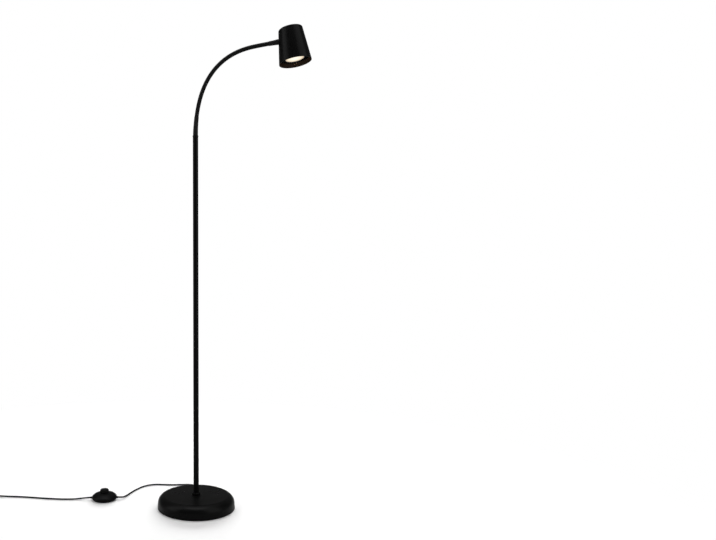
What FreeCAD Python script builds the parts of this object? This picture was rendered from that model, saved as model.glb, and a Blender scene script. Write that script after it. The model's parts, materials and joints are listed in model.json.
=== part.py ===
import FreeCAD, Part
import math
import os

# Gooseneck reading floor lamp, in millimetres. The origin is the middle of the base's
# underside, +Z is up the pole, and the neck leans out over +X. Each piece is one node.

# ---- clearances between pieces
slip_gap = 0.05  # a turned piece in its hole
cover_gap = 0.4  # castings and pads inside the pressed cover
swivel_gap = 0.3  # the neck's ball seats

# ---- base
base_radius = 100.0
base_height = 33.0
base_shoulder = 19.5  # radius of the cover's rounded shoulder
base_side_lean = 0.6
base_wall = 1.5
rim_lift = 0.8  # the cover's rim stands this far off the floor
pad_thickness = 2.0
weight_thickness = 18.0
weight_boss_radius = 19.0
nut_pocket_radius = 14.0
nut_pocket_depth = 17.0
cord_channel_width = 8.0

# ---- pole
pole_radius = 7.0
pole_wall = 1.2
pole_top = 966.0
pole_ring_height = 3.0
pole_ring_lip = 0.6
pole_insert_length = 22.0
collar_radius = 10.5
collar_height = 6.5
collar_round = 2.0
stem_radius = 5.0  # hollow threaded stem that ties base to pole
stem_bore = 3.2
stem_grip = 18.0  # length of the stem inside the pole
nut_flats = 14.0
nut_height = 5.0
washer_radius = 12.5
washer_thickness = 1.5

# ---- gooseneck
neck_radius = 5.4
neck_bore = 2.8
neck_length = 363.8
neck_end_angle = 81.5  # degrees from upright at the shade
neck_shape = (0.0, 0.165, 0.205, 1.248, 1.0)  # control values of the bend along the neck
neck_first_ball = 58.0
neck_end_run = 34.0  # from the last ball to the shade
neck_balls = 9
neck_spigot_radius = 4.6
neck_spigot_length = 14.0
boot_length = 49.0
boot_foot_radius = 6.5
boot_top_radius = 5.75
boot_straight = 12.0

# ---- shade and lampholder; heights are measured up the shade's axis from its mouth
shade_mouth_radius = 42.0
shade_top_radius = 30.8
shade_length = 87.8
shade_wall = 1.2
shade_edge_round = 3.2
shade_fixing_height = 59.5
ferrule_length = 25.0
ferrule_floor = 3.0  # the neck stops this far short of the shade's wall
ferrule_foot = 3.5  # straight stretch next to the shade
ferrule_root = 2.5  # how far it is scribed in past the wall's crown
ferrule_thin_radius = 5.95
ferrule_thick_radius = 6.95
nipple_radius = 4.0
nipple_bore = 2.6
nipple_inside = 7.5  # how far the nipple reaches in past the shade's wall
head_nut_flats = 12.0
head_nut_height = 3.5
head_nut_gap = 0.6  # the leg leans, so the nut stands off its middle
bracket_width = 14.0
bracket_thickness = 1.2
bracket_foot_drop = 8.0
bracket_roof_gap = 7.0  # from the bracket to the shade's top
holder_radius = 13.0
holder_height = 18.5
holder_screw_spacing = 12.0
holder_screw_radius = 1.5
holder_screw_length = 7.0
holder_screw_head_radius = 2.7
holder_screw_head_height = 1.8
holder_step = 0.35  # share of the holder's height above its step
holder_step_width = 2.0
holder_edge = 1.0
bulb_seat_gap = 0.4  # from the bulb to its holder
bulb_radius = 25.0
bulb_length = 49.5
bulb_neck_radius = 9.5
bulb_waist_radius = 14.0
bulb_waist_height = 34.0
lens_radius = 23.2
lens_thickness = 2.5
lens_crown = 0.6  # how far the lens's middle stands out of its rim
rim_depth = 0.8
rim_inset = 0.6
rim_bevel = 0.5
rim_proud = 0.3
bulb_pin_radius = 1.5
bulb_pin_head = 2.4
bulb_pin_length = 6.5
bulb_pin_spacing = 10.0
lead_radius = 1.3
lead_bend = 3.0

# ---- foot switch
switch_x = -251.7
switch_y = 40.6
switch_turn = 7.0  # degrees, direction of the cord through the switch
switch_radius = 33.4
switch_foot_radius = 29.0
switch_seam = 5.5
switch_height = 18.6
switch_wall = 2.0
switch_crown_radius = 15.5
button_radius = 12.0
button_top = 28.4
button_round = 4.0
button_travel = 2.5
button_skirt = 1.4  # flange that keeps the button in the case
button_skirt_height = 1.6
button_crown_rise = 0.6
button_lip_gap = 0.2
contact_clearance = 1.2  # left under the pressed button
spring_seat_depth = 3.0
spring_radius = 5.0
spring_wire = 0.8
spring_turns = 3
switch_relief_inside = 16.0
switch_relief_outside = 4.0
switch_relief_wall = 0.9
switch_relief_tip_wall = 0.45
screw_head_radius = 2.8
screw_head_height = 1.3
screw_radius = 1.5
screw_clearance = 0.1
screw_sink_depth = 1.7
screw_sink_margin = 0.5
screw_sunk = 0.4  # the heads lie this far up inside the foot
screw_ring_share = 0.72  # of the switch's radius

# ---- mains cord
cord_radius = 2.0
cord_floor = 2.05  # height of a lying cord's centre
bush_length = 24.0
bush_outside = 12.0
bush_radius = 3.6
bush_tip_radius = 2.5
bush_height = 5.8
inner_bend = 8.0
coil_x = -573.0
coil_y = 4.0
coil_start_radius = 32.0
coil_pitch = 4.6
coil_layer = 4.6
coil_turns_in = 3.5
coil_turns_out = 3.25
tie_thickness = 0.8
tie_width = 5.0
tie_clearance = 0.3

# ---- plug
plug_length = 36.0
plug_width = 35.0
plug_thickness = 13.6
plug_shoulder = 13.0
plug_tail_width = 13.0
plug_round = 2.5
plug_relief = 22.0
plug_relief_wall = 1.8
plug_relief_tip_wall = 0.5
plug_pin_radius = 2.0
plug_pin_length = 19.0
plug_pin_spacing = 19.0
plug_pin_taper = 1.2

# ---- sizes that follow
up = FreeCAD.Vector(0, 0, 1)
pole_bore = pole_radius - pole_wall
shoulder_centre = base_radius - base_side_lean - base_shoulder
cover_underside = base_height - base_wall
weight_top = pad_thickness + weight_thickness
stem_bottom = pad_thickness + nut_pocket_depth - washer_thickness - nut_height - 1.0
cup_radius = neck_radius + swivel_gap
neck_last_ball = neck_length - neck_end_run
shade_slope = (shade_mouth_radius - shade_top_radius) / shade_length
shade_tilt = 90.0 - neck_end_angle
cord_diameter = 2 * cord_radius


def vec(x, y, z=0.0):
    return FreeCAD.Vector(x, y, z)


def save(shape, node):
    shape.exportStep(os.path.join("parts", node + ".step"))


def group(solids):
    return Part.makeCompound(solids)


def corner_arc(cx, cz, radius, first, last):
    """Middle and end point of an arc that rounds a profile's corner; angles in degrees."""
    middle = math.radians((first + last) / 2)
    end = math.radians(last)
    return (
        (cx + radius * math.cos(middle), cz + radius * math.sin(middle)),
        (cx + radius * math.cos(end), cz + radius * math.sin(end)),
    )


def outline(start, *steps):
    """Closed face in the XZ plane: a step is (point,) for a line or (middle, end) for an arc."""
    edges = []
    here = vec(start[0], 0, start[1])
    for step in steps + ((start,),):
        there = vec(step[-1][0], 0, step[-1][1])
        if here.distanceToPoint(there) > 1e-6:
            if len(step) == 2:
                middle = vec(step[0][0], 0, step[0][1])
                edges.append(Part.Arc(here, middle, there).toShape())
            else:
                edges.append(Part.makeLine(here, there))
        here = there
    return Part.Face(Part.Wire(edges))


def turned(start, *steps):
    """Solid of revolution about Z of an outline given in radius and height."""
    return outline(start, *steps).revolve(vec(0, 0), up, 360)


def ring(outer, inner, low, high):
    return turned((inner, low), ((outer, low),), ((outer, high),), ((inner, high),))


def hexagon(flats, low, high):
    corner = flats / 2 / math.cos(math.radians(30))
    points = [
        vec(corner * math.cos(math.radians(60 * k)), corner * math.sin(math.radians(60 * k)), low)
        for k in range(7)
    ]
    return Part.Face(Part.makePolygon(points)).extrude(vec(0, 0, high - low))


def placed(shape, origin, x_axis, z_axis):
    """Moves a shape made in local axes to the place where it sits."""
    y_axis = z_axis.cross(x_axis)
    turn = FreeCAD.Rotation(x_axis, y_axis, z_axis, "ZXY")
    moved = shape.copy()
    moved.Placement = FreeCAD.Placement(origin, turn).multiply(shape.Placement)
    return moved


def rod(radius, start, end):
    return Part.makeCylinder(radius, start.distanceToPoint(end), start, end - start)


def cone_between(radius_a, radius_b, start, end):
    return Part.makeCone(radius_a, radius_b, start.distanceToPoint(end), start, end - start)


# ---- routes of cords


def rounded_route(points):
    """Straight runs joined by tangent arcs; also gives the arcs' radii."""
    edges = []
    radii = []
    here = points[0]
    for before, corner, after in zip(points, points[1:], points[2:]):
        back = before - corner
        on = after - corner
        turn = math.pi - back.getAngle(on)
        reach = 0.45 * min(back.Length, on.Length)
        radii.append(reach / math.tan(turn / 2))
        back.normalize()
        on.normalize()
        first = corner + back * reach
        last = corner + on * reach
        bisector = back + on
        bisector.normalize()
        depth = radii[-1] * (1 / math.cos(turn / 2) - 1)
        edges.append(Part.makeLine(here, first))
        edges.append(Part.Arc(first, corner + bisector * depth, last).toShape())
        here = last
    edges.append(Part.makeLine(here, points[-1]))
    return Part.Wire(edges), radii


def biarc(start, start_way, end, end_way):
    """Two tangent arcs from one point and direction to another, in space."""
    chord = end - start
    ways = start_way + end_way
    along = chord.dot(ways)
    spread = 2 * (1 - start_way.dot(end_way))
    reach = (math.sqrt(along**2 + spread * chord.dot(chord)) - along) / spread
    first = start + start_way * reach
    last = end - end_way * reach
    joint = (first + last) * 0.5
    way = last - first
    way.normalize()
    return [arc_from(start, start_way, joint), arc_from(joint, way, end)]


def arc_from(start, way, end):
    chord = end - start
    half = way.getAngle(chord)
    side = way * chord.dot(chord) - chord * way.dot(chord)
    side.normalize()
    bulge = chord.Length / 2 * math.tan(half / 2)
    return Part.Arc(start, (start + end) * 0.5 + side * bulge, end).toShape()


def swept_tube(wire, radius, start, way):
    profile = Part.Wire(Part.makeCircle(radius, start, way))
    shell = Part.BRepOffsetAPI.MakePipeShell(wire)
    shell.add(profile)
    shell.build()
    shell.makeSolid()
    return shell.shape()


def cord_tube(name, points):
    wire, radii = rounded_route(points)
    tube = swept_tube(wire, cord_radius, points[0], points[1] - points[0])
    share = tube.Volume / (math.pi * cord_radius**2 * wire.Length)
    print(name, "length %.0f, volume share %.4f" % (wire.Length, share))
    print(name, "radii", " ".join("%.0f" % r for r in radii))
    return tube


# ---- base


def base_cover():
    inner_round = base_shoulder - base_wall
    middle = shoulder_centre
    height = base_height - base_shoulder
    hole = stem_radius + slip_gap
    cover = turned(
        (hole, cover_underside),
        ((middle, cover_underside),),
        corner_arc(middle, height, inner_round, 90, 0),
        ((base_radius - base_wall, rim_lift),),
        ((base_radius, rim_lift),),
        ((base_radius - base_side_lean, height),),
        corner_arc(middle, height, base_shoulder, 0, 90),
        ((hole, base_height),),
    )
    outlet = rod(bush_radius + slip_gap, vec(0, 0, bush_height), vec(0, base_radius + 5, bush_height))
    return cover.cut(outlet)


def base_weight():
    inner_round = base_shoulder - base_wall - cover_gap
    side = base_radius - base_side_lean - base_wall - cover_gap
    height = base_height - base_shoulder
    top = math.degrees(math.asin(min(0.95, (weight_top - height) / inner_round)))
    shoulder = corner_arc(shoulder_centre, height, inner_round, 0, top)
    pocket_top = pad_thickness + nut_pocket_depth
    hole = stem_radius + slip_gap
    body = turned(
        (nut_pocket_radius, pad_thickness),
        ((side, pad_thickness),),
        ((side, height),),
        shoulder,
        ((weight_boss_radius, shoulder[1][1]),),
        ((weight_boss_radius, cover_underside),),
        ((hole, cover_underside),),
        ((hole, pocket_top),),
        ((nut_pocket_radius, pocket_top),),
    )
    half = cord_channel_width / 2
    channel = Part.makeBox(
        cord_channel_width, base_radius, bush_height + half - pad_thickness, vec(-half, 0, pad_thickness)
    )
    return body.cut(channel)


def base_pad():
    radius = base_radius - base_side_lean - base_wall - 2 * cover_gap
    return Part.makeCylinder(radius, pad_thickness)


def stem_washer():
    high = pad_thickness + nut_pocket_depth
    return ring(washer_radius, stem_radius + slip_gap, high - washer_thickness, high)


def stem_nut():
    high = pad_thickness + nut_pocket_depth - washer_thickness
    hole = Part.makeCylinder(stem_radius + slip_gap, base_height)
    return hexagon(nut_flats, high - nut_height, high).cut(hole)


def pole_stem():
    return ring(stem_radius, stem_bore, stem_bottom, base_height + stem_grip)


# ---- pole


def pole_collar():
    top = base_height + collar_height
    middle = collar_radius - collar_round
    bore = pole_radius + slip_gap
    return turned(
        (bore, base_height),
        ((collar_radius, base_height),),
        ((collar_radius, top - collar_round),),
        corner_arc(middle, top - collar_round, collar_round, 0, 90),
        ((bore, top),),
    )


def pole_tube():
    return ring(pole_radius, pole_bore, base_height, pole_top - pole_ring_height)


def pole_insert():
    return ring(pole_bore - slip_gap, stem_radius + slip_gap, base_height, base_height + pole_insert_length)


def pole_ring():
    outer = pole_radius + pole_ring_lip
    bore = neck_spigot_radius + slip_gap
    seat = pole_top - pole_ring_height
    edge = pole_ring_height / 4
    return turned(
        (bore, seat - neck_spigot_length),
        ((pole_bore - slip_gap, seat - neck_spigot_length),),
        ((pole_bore - slip_gap, seat),),
        ((outer, seat),),
        ((outer, pole_top - edge),),
        corner_arc(outer - edge, pole_top - edge, edge, 0, 90),
        ((bore, pole_top),),
    )


def inner_cable():
    """Cord's run inside the lamp, from the base's outlet to the top of the pole."""
    start = vec(0, base_radius + bush_outside - bush_length, bush_height)
    bend = vec(0, inner_bend, bush_height)
    top = vec(0, 0, pole_top - pole_ring_height - neck_spigot_length)
    low = vec(0, 0, bush_height + inner_bend)
    reach = inner_bend * (1 - math.sqrt(0.5))
    middle = vec(0, reach, bush_height + reach)
    edges = [Part.makeLine(start, bend), Part.Arc(bend, middle, low).toShape(), Part.makeLine(low, top)]
    return swept_tube(Part.Wire(edges), cord_radius, start, vec(0, -1))


# ---- gooseneck: arcs that meet in ball seats


def neck_angle(length):
    """Angle from upright at a length along the neck, in radians."""
    part = length / neck_length
    total = 0.0
    for k, value in enumerate(neck_shape):
        total += math.comb(4, k) * value * part**k * (1 - part) ** (4 - k)
    return math.radians(neck_end_angle) * total


def heading(angle):
    return vec(math.sin(angle), 0, math.cos(angle))


def bend_side(angle):
    return vec(math.cos(angle), 0, -math.sin(angle))


def neck_stations():
    """Each ball's centre and the neck's angle there, with the foot before and the tip after."""
    step = (neck_last_ball - neck_first_ball) / (neck_balls - 1)
    lengths = [0.0] + [neck_first_ball + k * step for k in range(neck_balls)]
    stations = [(vec(0, 0, pole_top), 0.0)]
    end = math.radians(neck_end_angle)
    angles = [neck_angle(length) for length in lengths[:-1]] + [end]
    for k in range(neck_balls):
        place, angle = stations[-1]
        bend = (lengths[k + 1] - lengths[k]) / (angles[k + 1] - angles[k])
        place = place + (bend_side(angle) - bend_side(angles[k + 1])) * bend
        stations.append((place, angles[k + 1]))
    tip = stations[-1][0] + heading(end) * (neck_length - neck_last_ball)
    stations.append((tip, end))
    return stations


def bent_rod(radius, station, following):
    place, angle = station
    turn = following[1] - angle
    face = Part.Face(Part.Wire(Part.makeCircle(radius, place, heading(angle))))
    chord = following[0] - place
    if abs(turn) < 1e-4:
        return face.extrude(chord)
    bend = chord.Length / 2 / math.sin(turn / 2)
    return face.revolve(place + bend_side(angle) * bend, vec(0, 1), math.degrees(turn))


def neck_link(station, following, with_seat, with_ball):
    link = bent_rod(neck_radius, station, following)
    hollow = bent_rod(neck_bore, station, following)
    if with_ball:
        place, angle = following
        ball = Part.makeSphere(neck_radius, place, heading(angle), 0, 90, 360)
        link = link.fuse(ball).removeSplitter()
        hollow = hollow.fuse(rod(neck_bore, place, place + heading(angle) * 2 * neck_radius))
    link = link.cut(hollow)
    if with_seat:
        link = link.cut(Part.makeSphere(cup_radius, station[0]))
    return link


def neck_root(stations):
    """Anchored end of the gooseneck: its spigot in the pole, and the run under the boot."""
    foot = vec(0, 0, pole_top - neck_spigot_length)
    spigot = rod(neck_spigot_radius, foot, stations[0][0]).cut(rod(neck_bore, foot, stations[0][0]))
    return spigot.fuse(neck_link(stations[0], stations[1], False, True)).removeSplitter()


def neck_end_link(stations):
    """Last link, which stops on the floor of the ferrule's socket."""
    tip, angle = stations[-1]
    return neck_link(stations[-2], (tip - heading(angle) * ferrule_floor, angle), True, False)


def neck_boot(stations):
    """Moulded sleeve that thickens the neck's foot, lofted along the first bend."""
    place, angle = stations[0]
    turn = stations[1][1] - angle
    bend = (stations[1][0] - place).Length / 2 / math.sin(turn / 2)
    middle = (boot_straight + boot_length) / 2
    half_taper = boot_top_radius + (boot_foot_radius - boot_top_radius) * 0.45
    sections = (
        (0.0, boot_foot_radius),
        (boot_straight, boot_foot_radius - 0.1),
        (middle, half_taper),
        (boot_length, boot_top_radius),
    )
    circles = []
    for length, radius in sections:
        here = length / bend
        centre = place + (bend_side(0) - bend_side(here)) * bend
        circles.append(Part.Wire(Part.makeCircle(radius, centre, heading(here))))
    solid = Part.makeLoft(circles, True)
    return solid.cut(bent_rod(neck_radius + slip_gap, stations[0], stations[1]))


# ---- head, made upright on its own mouth and then hung on the neck


def shade_radius(height):
    return shade_mouth_radius - shade_slope * height


def shade_solid(growth):
    """Filled outer form of the shade, larger all round by a growth."""
    top = shade_length + growth
    edge = shade_edge_round
    slope = math.degrees(math.atan(shade_slope))
    middle = shade_radius(shade_length - edge) + growth - edge
    arc = corner_arc(middle, top - edge, edge, slope, 90)
    first = math.radians(slope)
    start = (middle + edge * math.cos(first), top - edge + edge * math.sin(first))
    return turned((0, 0), ((shade_mouth_radius + growth, 0),), (start,), arc, ((0, top),))


def head_frame(stations):
    """Origin at the mouth's middle, x towards the neck, z up the shade's axis."""
    tip, angle = stations[-1]
    z_axis = vec(-math.cos(angle), 0, math.sin(angle))
    x_axis = heading(angle) * -1
    middle = tip + heading(angle) * shade_radius(shade_fixing_height)
    return middle - z_axis * shade_fixing_height, x_axis, z_axis


def shade():
    inside = shade_solid(-shade_wall)
    reach = vec(0, 0, -1)
    mouth = Part.makeCylinder(shade_mouth_radius - shade_wall, 1.0, reach)
    shell = shade_solid(0).cut(inside).cut(mouth)
    outer = shade_mouth_radius + 5
    hole = rod(nipple_radius + slip_gap, vec(0, 0, shade_fixing_height), vec(outer, 0, shade_fixing_height))
    return shell.cut(hole)


def ferrule():
    """Flared sleeve between the neck's last link and the shade's wall."""
    wall = shade_radius(shade_fixing_height)
    far = wall + ferrule_length
    axis = shade_fixing_height
    foot = wall + ferrule_foot
    flare = ferrule_thick_radius - ferrule_thin_radius
    body = turned(
        (0, wall - ferrule_root),
        ((ferrule_thick_radius, wall - ferrule_root),),
        ((ferrule_thick_radius, foot),),
        ((ferrule_thin_radius + 0.3 * flare, (foot + far) / 2), (ferrule_thin_radius, far)),
        ((0, far),),
    )
    body = placed(body, vec(0, 0, axis), vec(0, 1), vec(1, 0))
    seat = vec(wall + ferrule_floor, 0, axis)
    body = body.cut(rod(neck_radius + slip_gap, vec(far + 1, 0, axis), seat))
    body = body.cut(rod(nipple_radius + slip_gap, vec(far, 0, axis), vec(0, 0, axis)))
    return body.cut(shade_solid(slip_gap))


def head_nipple():
    outer = shade_radius(shade_fixing_height) + ferrule_floor - slip_gap
    inner = shade_radius(shade_fixing_height) - shade_wall - nipple_inside
    start = vec(outer, 0, shade_fixing_height)
    end = vec(inner, 0, shade_fixing_height)
    return rod(nipple_radius, start, end).cut(rod(nipple_bore, start, end))


def bracket_leg_face(height):
    """Inner wall's distance at a height, less the sag across the bracket's width."""
    wall = shade_radius(height) - shade_wall
    half = bracket_width / 2
    return math.sqrt(wall**2 - half**2) - 2 * slip_gap


def bracket_roof():
    return shade_length - shade_wall - bracket_roof_gap


def lampholder_bracket():
    roof = bracket_roof()
    foot = shade_fixing_height - bracket_foot_drop
    far = -holder_radius * 0.7
    outer_foot = bracket_leg_face(foot)
    outer_roof = bracket_leg_face(roof) - 0.5
    under = roof - bracket_thickness
    profile = Part.makePolygon(
        [
            vec(outer_foot, 0, foot),
            vec(outer_roof, 0, roof),
            vec(far, 0, roof),
            vec(far, 0, under),
            vec(outer_roof - bracket_thickness, 0, under),
            vec(outer_foot - bracket_thickness, 0, foot),
            vec(outer_foot, 0, foot),
        ]
    )
    strip = Part.Face(profile).extrude(vec(0, bracket_width))
    strip.translate(vec(0, -bracket_width / 2))
    axis = shade_fixing_height
    strip = strip.cut(rod(nipple_radius + slip_gap, vec(0, 0, axis), vec(outer_foot + 9, 0, axis)))
    hole = holder_screw_radius + screw_clearance
    for side in (-1, 1):
        screw_x = side * holder_screw_spacing / 2
        strip = strip.cut(rod(hole, vec(screw_x, 0, under - 1), vec(screw_x, 0, roof + 1)))
    return strip


def head_nut():
    """Nut on the nipple, against the bracket's leg."""
    leg = bracket_leg_face(shade_fixing_height + head_nut_flats / 2) - bracket_thickness - head_nut_gap
    nut = hexagon(head_nut_flats, 0, head_nut_height)
    nut = nut.cut(Part.makeCylinder(nipple_radius + slip_gap, head_nut_height))
    return placed(nut, vec(leg, 0, shade_fixing_height), vec(0, 0, 1), vec(-1, 0))


def lampholder():
    """Ceramic holder: a stepped puck with two keyhole sockets underneath."""
    high = bracket_roof() - bracket_thickness
    low = high - holder_height
    step = high - holder_step * holder_height
    body = turned(
        (0, low),
        ((holder_radius - holder_edge, low),),
        ((holder_radius, low + holder_edge),),
        ((holder_radius, step),),
        ((holder_radius - holder_step_width, step),),
        ((holder_radius - holder_step_width, high),),
        ((0, high),),
    )
    hole = holder_screw_radius + slip_gap
    sunk = holder_screw_length - 1
    for side in (-1, 1):
        socket_y = side * bulb_pin_spacing / 2
        clear = bulb_pin_head + swivel_gap
        body = body.cut(rod(clear, vec(0, socket_y, low), vec(0, socket_y, low + bulb_pin_length + 1)))
        screw_x = side * holder_screw_spacing / 2
        body = body.cut(rod(hole, vec(screw_x, 0, high - sunk), vec(screw_x, 0, high)))
    return body


def lampholder_screws():
    roof = bracket_roof()
    screws = []
    for side in (-1, 1):
        screw_x = side * holder_screw_spacing / 2
        head = Part.makeCylinder(holder_screw_head_radius, holder_screw_head_height, vec(screw_x, 0, roof))
        shank = rod(holder_screw_radius, vec(screw_x, 0, roof - holder_screw_length), vec(screw_x, 0, roof))
        screws.append(head.fuse(shank).removeSplitter())
    return group(screws)


def lamp_leads():
    """Sleeved wires from the nipple's bore up to the side of the lampholder."""
    start_x = shade_radius(shade_fixing_height) - shade_wall - nipple_inside + 2
    axis = shade_fixing_height
    climb_x = holder_radius + lead_bend + 2.0
    top = axis + 2 * lead_bend + 2.0
    reach = lead_bend * (1 - math.sqrt(0.5))
    low_arc = Part.Arc(
        vec(climb_x + lead_bend, 0, axis),
        vec(climb_x + reach, 0, axis + reach),
        vec(climb_x, 0, axis + lead_bend),
    )
    high_arc = Part.Arc(
        vec(climb_x, 0, top - lead_bend),
        vec(climb_x - reach, 0, top - reach),
        vec(climb_x - lead_bend, 0, top),
    )
    edges = [
        Part.makeLine(vec(start_x, 0, axis), vec(climb_x + lead_bend, 0, axis)),
        low_arc.toShape(),
        Part.makeLine(vec(climb_x, 0, axis + lead_bend), vec(climb_x, 0, top - lead_bend)),
        high_arc.toShape(),
        Part.makeLine(vec(climb_x - lead_bend, 0, top), vec(holder_radius, 0, top)),
    ]
    return swept_tube(Part.Wire(edges), lead_radius, vec(start_x, 0, axis), vec(-1, 0))


def bulb_face():
    """Height of the bulb's face above the mouth, hung from the lampholder."""
    return bracket_roof() - bracket_thickness - holder_height - bulb_seat_gap - bulb_length


def bulb_body():
    face = bulb_face()
    top = face + bulb_length
    waist = face + bulb_waist_height
    seat = face + lens_thickness
    return turned(
        (0, seat),
        ((lens_radius + slip_gap, seat),),
        ((lens_radius + slip_gap, face + rim_depth),),
        ((bulb_radius - rim_inset, face + rim_depth),),
        ((bulb_radius, face + 3),),
        ((bulb_radius - 0.8, face + 7),),
        (
            (bulb_radius * 0.8, face + 0.62 * bulb_waist_height),
            (bulb_waist_radius, waist),
        ),
        ((bulb_neck_radius, waist + 5),),
        ((bulb_neck_radius, top),),
        ((0, top),),
    )


def bulb_rim():
    face = bulb_face()
    outer = bulb_radius - rim_inset
    return turned(
        (lens_radius + slip_gap, face),
        ((outer - rim_bevel, face - rim_proud),),
        ((outer, face + rim_depth),),
        ((lens_radius + slip_gap, face + rim_depth),),
    )


def bulb_lens():
    face = bulb_face()
    return turned(
        (0, face - lens_crown),
        ((lens_radius * 0.55, face - lens_crown + 0.2), (lens_radius, face + 0.2)),
        ((lens_radius, face + lens_thickness),),
        ((0, face + lens_thickness),),
    )


def bulb_pins():
    top = bulb_face() + bulb_length
    pins = []
    for side in (-1, 1):
        pin_y = side * bulb_pin_spacing / 2
        shank = Part.makeCylinder(bulb_pin_radius, bulb_pin_length, vec(0, pin_y, top))
        head = Part.makeCylinder(bulb_pin_head, 2.0, vec(0, pin_y, top + bulb_pin_length - 2.0))
        pins.append(shank.fuse(head).removeSplitter())
    return group(pins)


# ---- foot switch, made upright at the origin with its cord along x


def switch_outlets(radius):
    reach = switch_radius + 5
    return rod(radius, vec(-reach, 0, switch_seam), vec(reach, 0, switch_seam))


def switch_lower_case():
    wall = switch_wall
    edge = switch_seam * 0.6
    shell = turned(
        (0, 0),
        ((switch_foot_radius, 0),),
        ((switch_radius - 1.2, edge - 1.5), (switch_radius, switch_seam)),
        ((switch_radius - wall, switch_seam),),
        ((switch_foot_radius - wall, wall),),
        ((0, wall),),
    )
    hole = screw_radius + screw_clearance
    mouth = screw_head_radius + screw_sink_margin
    for place in switch_screw_places():
        foot = vec(place.x, place.y)
        shell = shell.cut(Part.makeCone(mouth, hole, screw_sink_depth, foot))
        shell = shell.cut(rod(hole, foot, place + up * switch_height))
    return shell.cut(switch_outlets(relief_waist() + slip_gap))


def relief_waist():
    return cord_radius + switch_relief_wall


def button_skirt_top():
    return switch_height - switch_wall - button_lip_gap


def spring_seat():
    """Bottom of the recess under the button that takes the spring."""
    return button_skirt_top() - button_skirt_height + spring_seat_depth


def switch_upper_case():
    wall = switch_wall
    well = button_radius + swivel_gap
    top = switch_height
    low = switch_seam
    lip = top - wall
    shell = turned(
        (switch_radius - wall, low),
        ((switch_radius, low),),
        (
            (0.74 * switch_radius + 0.26 * switch_crown_radius, low + 0.62 * (top - low)),
            (switch_crown_radius, top),
        ),
        ((well, top),),
        ((well, lip),),
        ((switch_crown_radius - 0.6, lip),),
        (
            (0.71 * (switch_radius - wall) + 0.29 * switch_crown_radius, low + 0.5 * (lip - low)),
            (switch_radius - wall, low + 0.6),
        ),
    )
    return shell.cut(switch_outlets(relief_waist() + slip_gap))


def switch_button():
    """Round push button: a cap over a skirt that stops it under the case's lip."""
    top = button_top
    skirt_top = button_skirt_top()
    skirt_low = skirt_top - button_skirt_height
    middle = button_radius - button_round
    crown = top - button_round
    cap = turned(
        (0, skirt_low),
        ((button_radius + button_skirt, skirt_low),),
        ((button_radius + button_skirt, skirt_top),),
        ((button_radius, skirt_top),),
        ((button_radius, crown),),
        corner_arc(middle, crown, button_round, 0, 80),
        ((0, top + button_crown_rise),),
    )
    recess_radius = spring_radius + spring_wire + swivel_gap
    return cap.cut(Part.makeCylinder(recess_radius, spring_seat_depth, vec(0, 0, skirt_low)))


def switch_spring():
    """Coil spring between the contact block and the button."""
    low = contact_top() + spring_wire / 2 + slip_gap
    high = spring_seat() - spring_wire / 2 - slip_gap
    rise = (high - low) / spring_turns
    points = []
    ways = []
    for k in range(2 * spring_turns + 1):
        turn = math.pi * k
        points.append(vec(spring_radius * math.cos(turn), spring_radius * math.sin(turn), low + rise * k / 2))
        way = vec(-math.sin(turn), math.cos(turn), rise / (2 * math.pi * spring_radius))
        way.normalize()
        ways.append(way)
    edges = []
    for k in range(2 * spring_turns):
        edges += biarc(points[k], ways[k], points[k + 1], ways[k + 1])
    return swept_tube(Part.Wire(edges), spring_wire / 2, points[0], ways[0])


def contact_top():
    return button_skirt_top() - button_skirt_height - button_travel - contact_clearance


def contact_block():
    """Moulded block that carries the contacts, on the lower case's floor."""
    width = switch_radius * 0.8
    depth = switch_radius * 0.62
    low = switch_wall
    block = Part.makeBox(width, depth, contact_top() - low, vec(-width / 2, -depth / 2, low))
    corners = [edge for edge in block.Edges if abs(edge.Vertexes[0].Z - edge.Vertexes[1].Z) > 1]
    return block.makeFillet(3.0, corners)


def switch_screw_places():
    reach = switch_radius * screw_ring_share
    turns = [math.radians(90 + 120 * k) for k in range(3)]
    return [vec(reach * math.cos(turn), reach * math.sin(turn), screw_sunk) for turn in turns]


def switch_screws():
    screws = []
    for place in switch_screw_places():
        head = Part.makeCone(screw_head_radius, screw_radius, screw_head_height, place)
        shank = Part.makeCylinder(screw_radius, switch_seam, place + up * screw_head_height)
        screws.append(head.fuse(shank).removeSplitter())
    return group(screws)


def switch_reliefs():
    """Tapered sleeves that grip the cord on both sides of the switch."""
    inside = switch_radius - switch_relief_inside
    outside = switch_radius + switch_relief_outside
    axis = switch_seam
    sleeves = []
    for side in (-1, 1):
        start = vec(side * inside, 0, axis)
        wall = vec(side * (switch_radius - 0.5), 0, axis)
        tip = vec(side * outside, 0, axis)
        body = rod(relief_waist(), start, wall)
        tip_radius = cord_radius + switch_relief_tip_wall
        body = body.fuse(cone_between(relief_waist(), tip_radius, wall, tip)).removeSplitter()
        sleeves.append(body.cut(rod(cord_radius, vec(side * (inside + 2), 0, axis), tip)))
    return group(sleeves)


def switch_frame():
    turn = math.radians(switch_turn)
    return vec(switch_x, switch_y), vec(math.cos(turn), math.sin(turn)), up


def switch_end(side):
    """Where the cord leaves a sleeve's tip, and the way it points."""
    origin, x_axis, _ = switch_frame()
    way = x_axis * side
    return origin + way * (switch_radius + switch_relief_outside) + up * switch_seam, way


# ---- mains cord


def base_bush():
    """Tapered strain relief in the back of the cover."""
    tip = base_radius + bush_outside
    wall = base_radius + 1.0
    start = tip - bush_length
    body = turned(
        (cord_radius, start),
        ((bush_radius, start),),
        ((bush_radius, wall),),
        ((bush_tip_radius, tip),),
        ((cord_radius, tip),),
    )
    return placed(body, vec(0, 0, bush_height), vec(1, 0), vec(0, 1))


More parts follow.
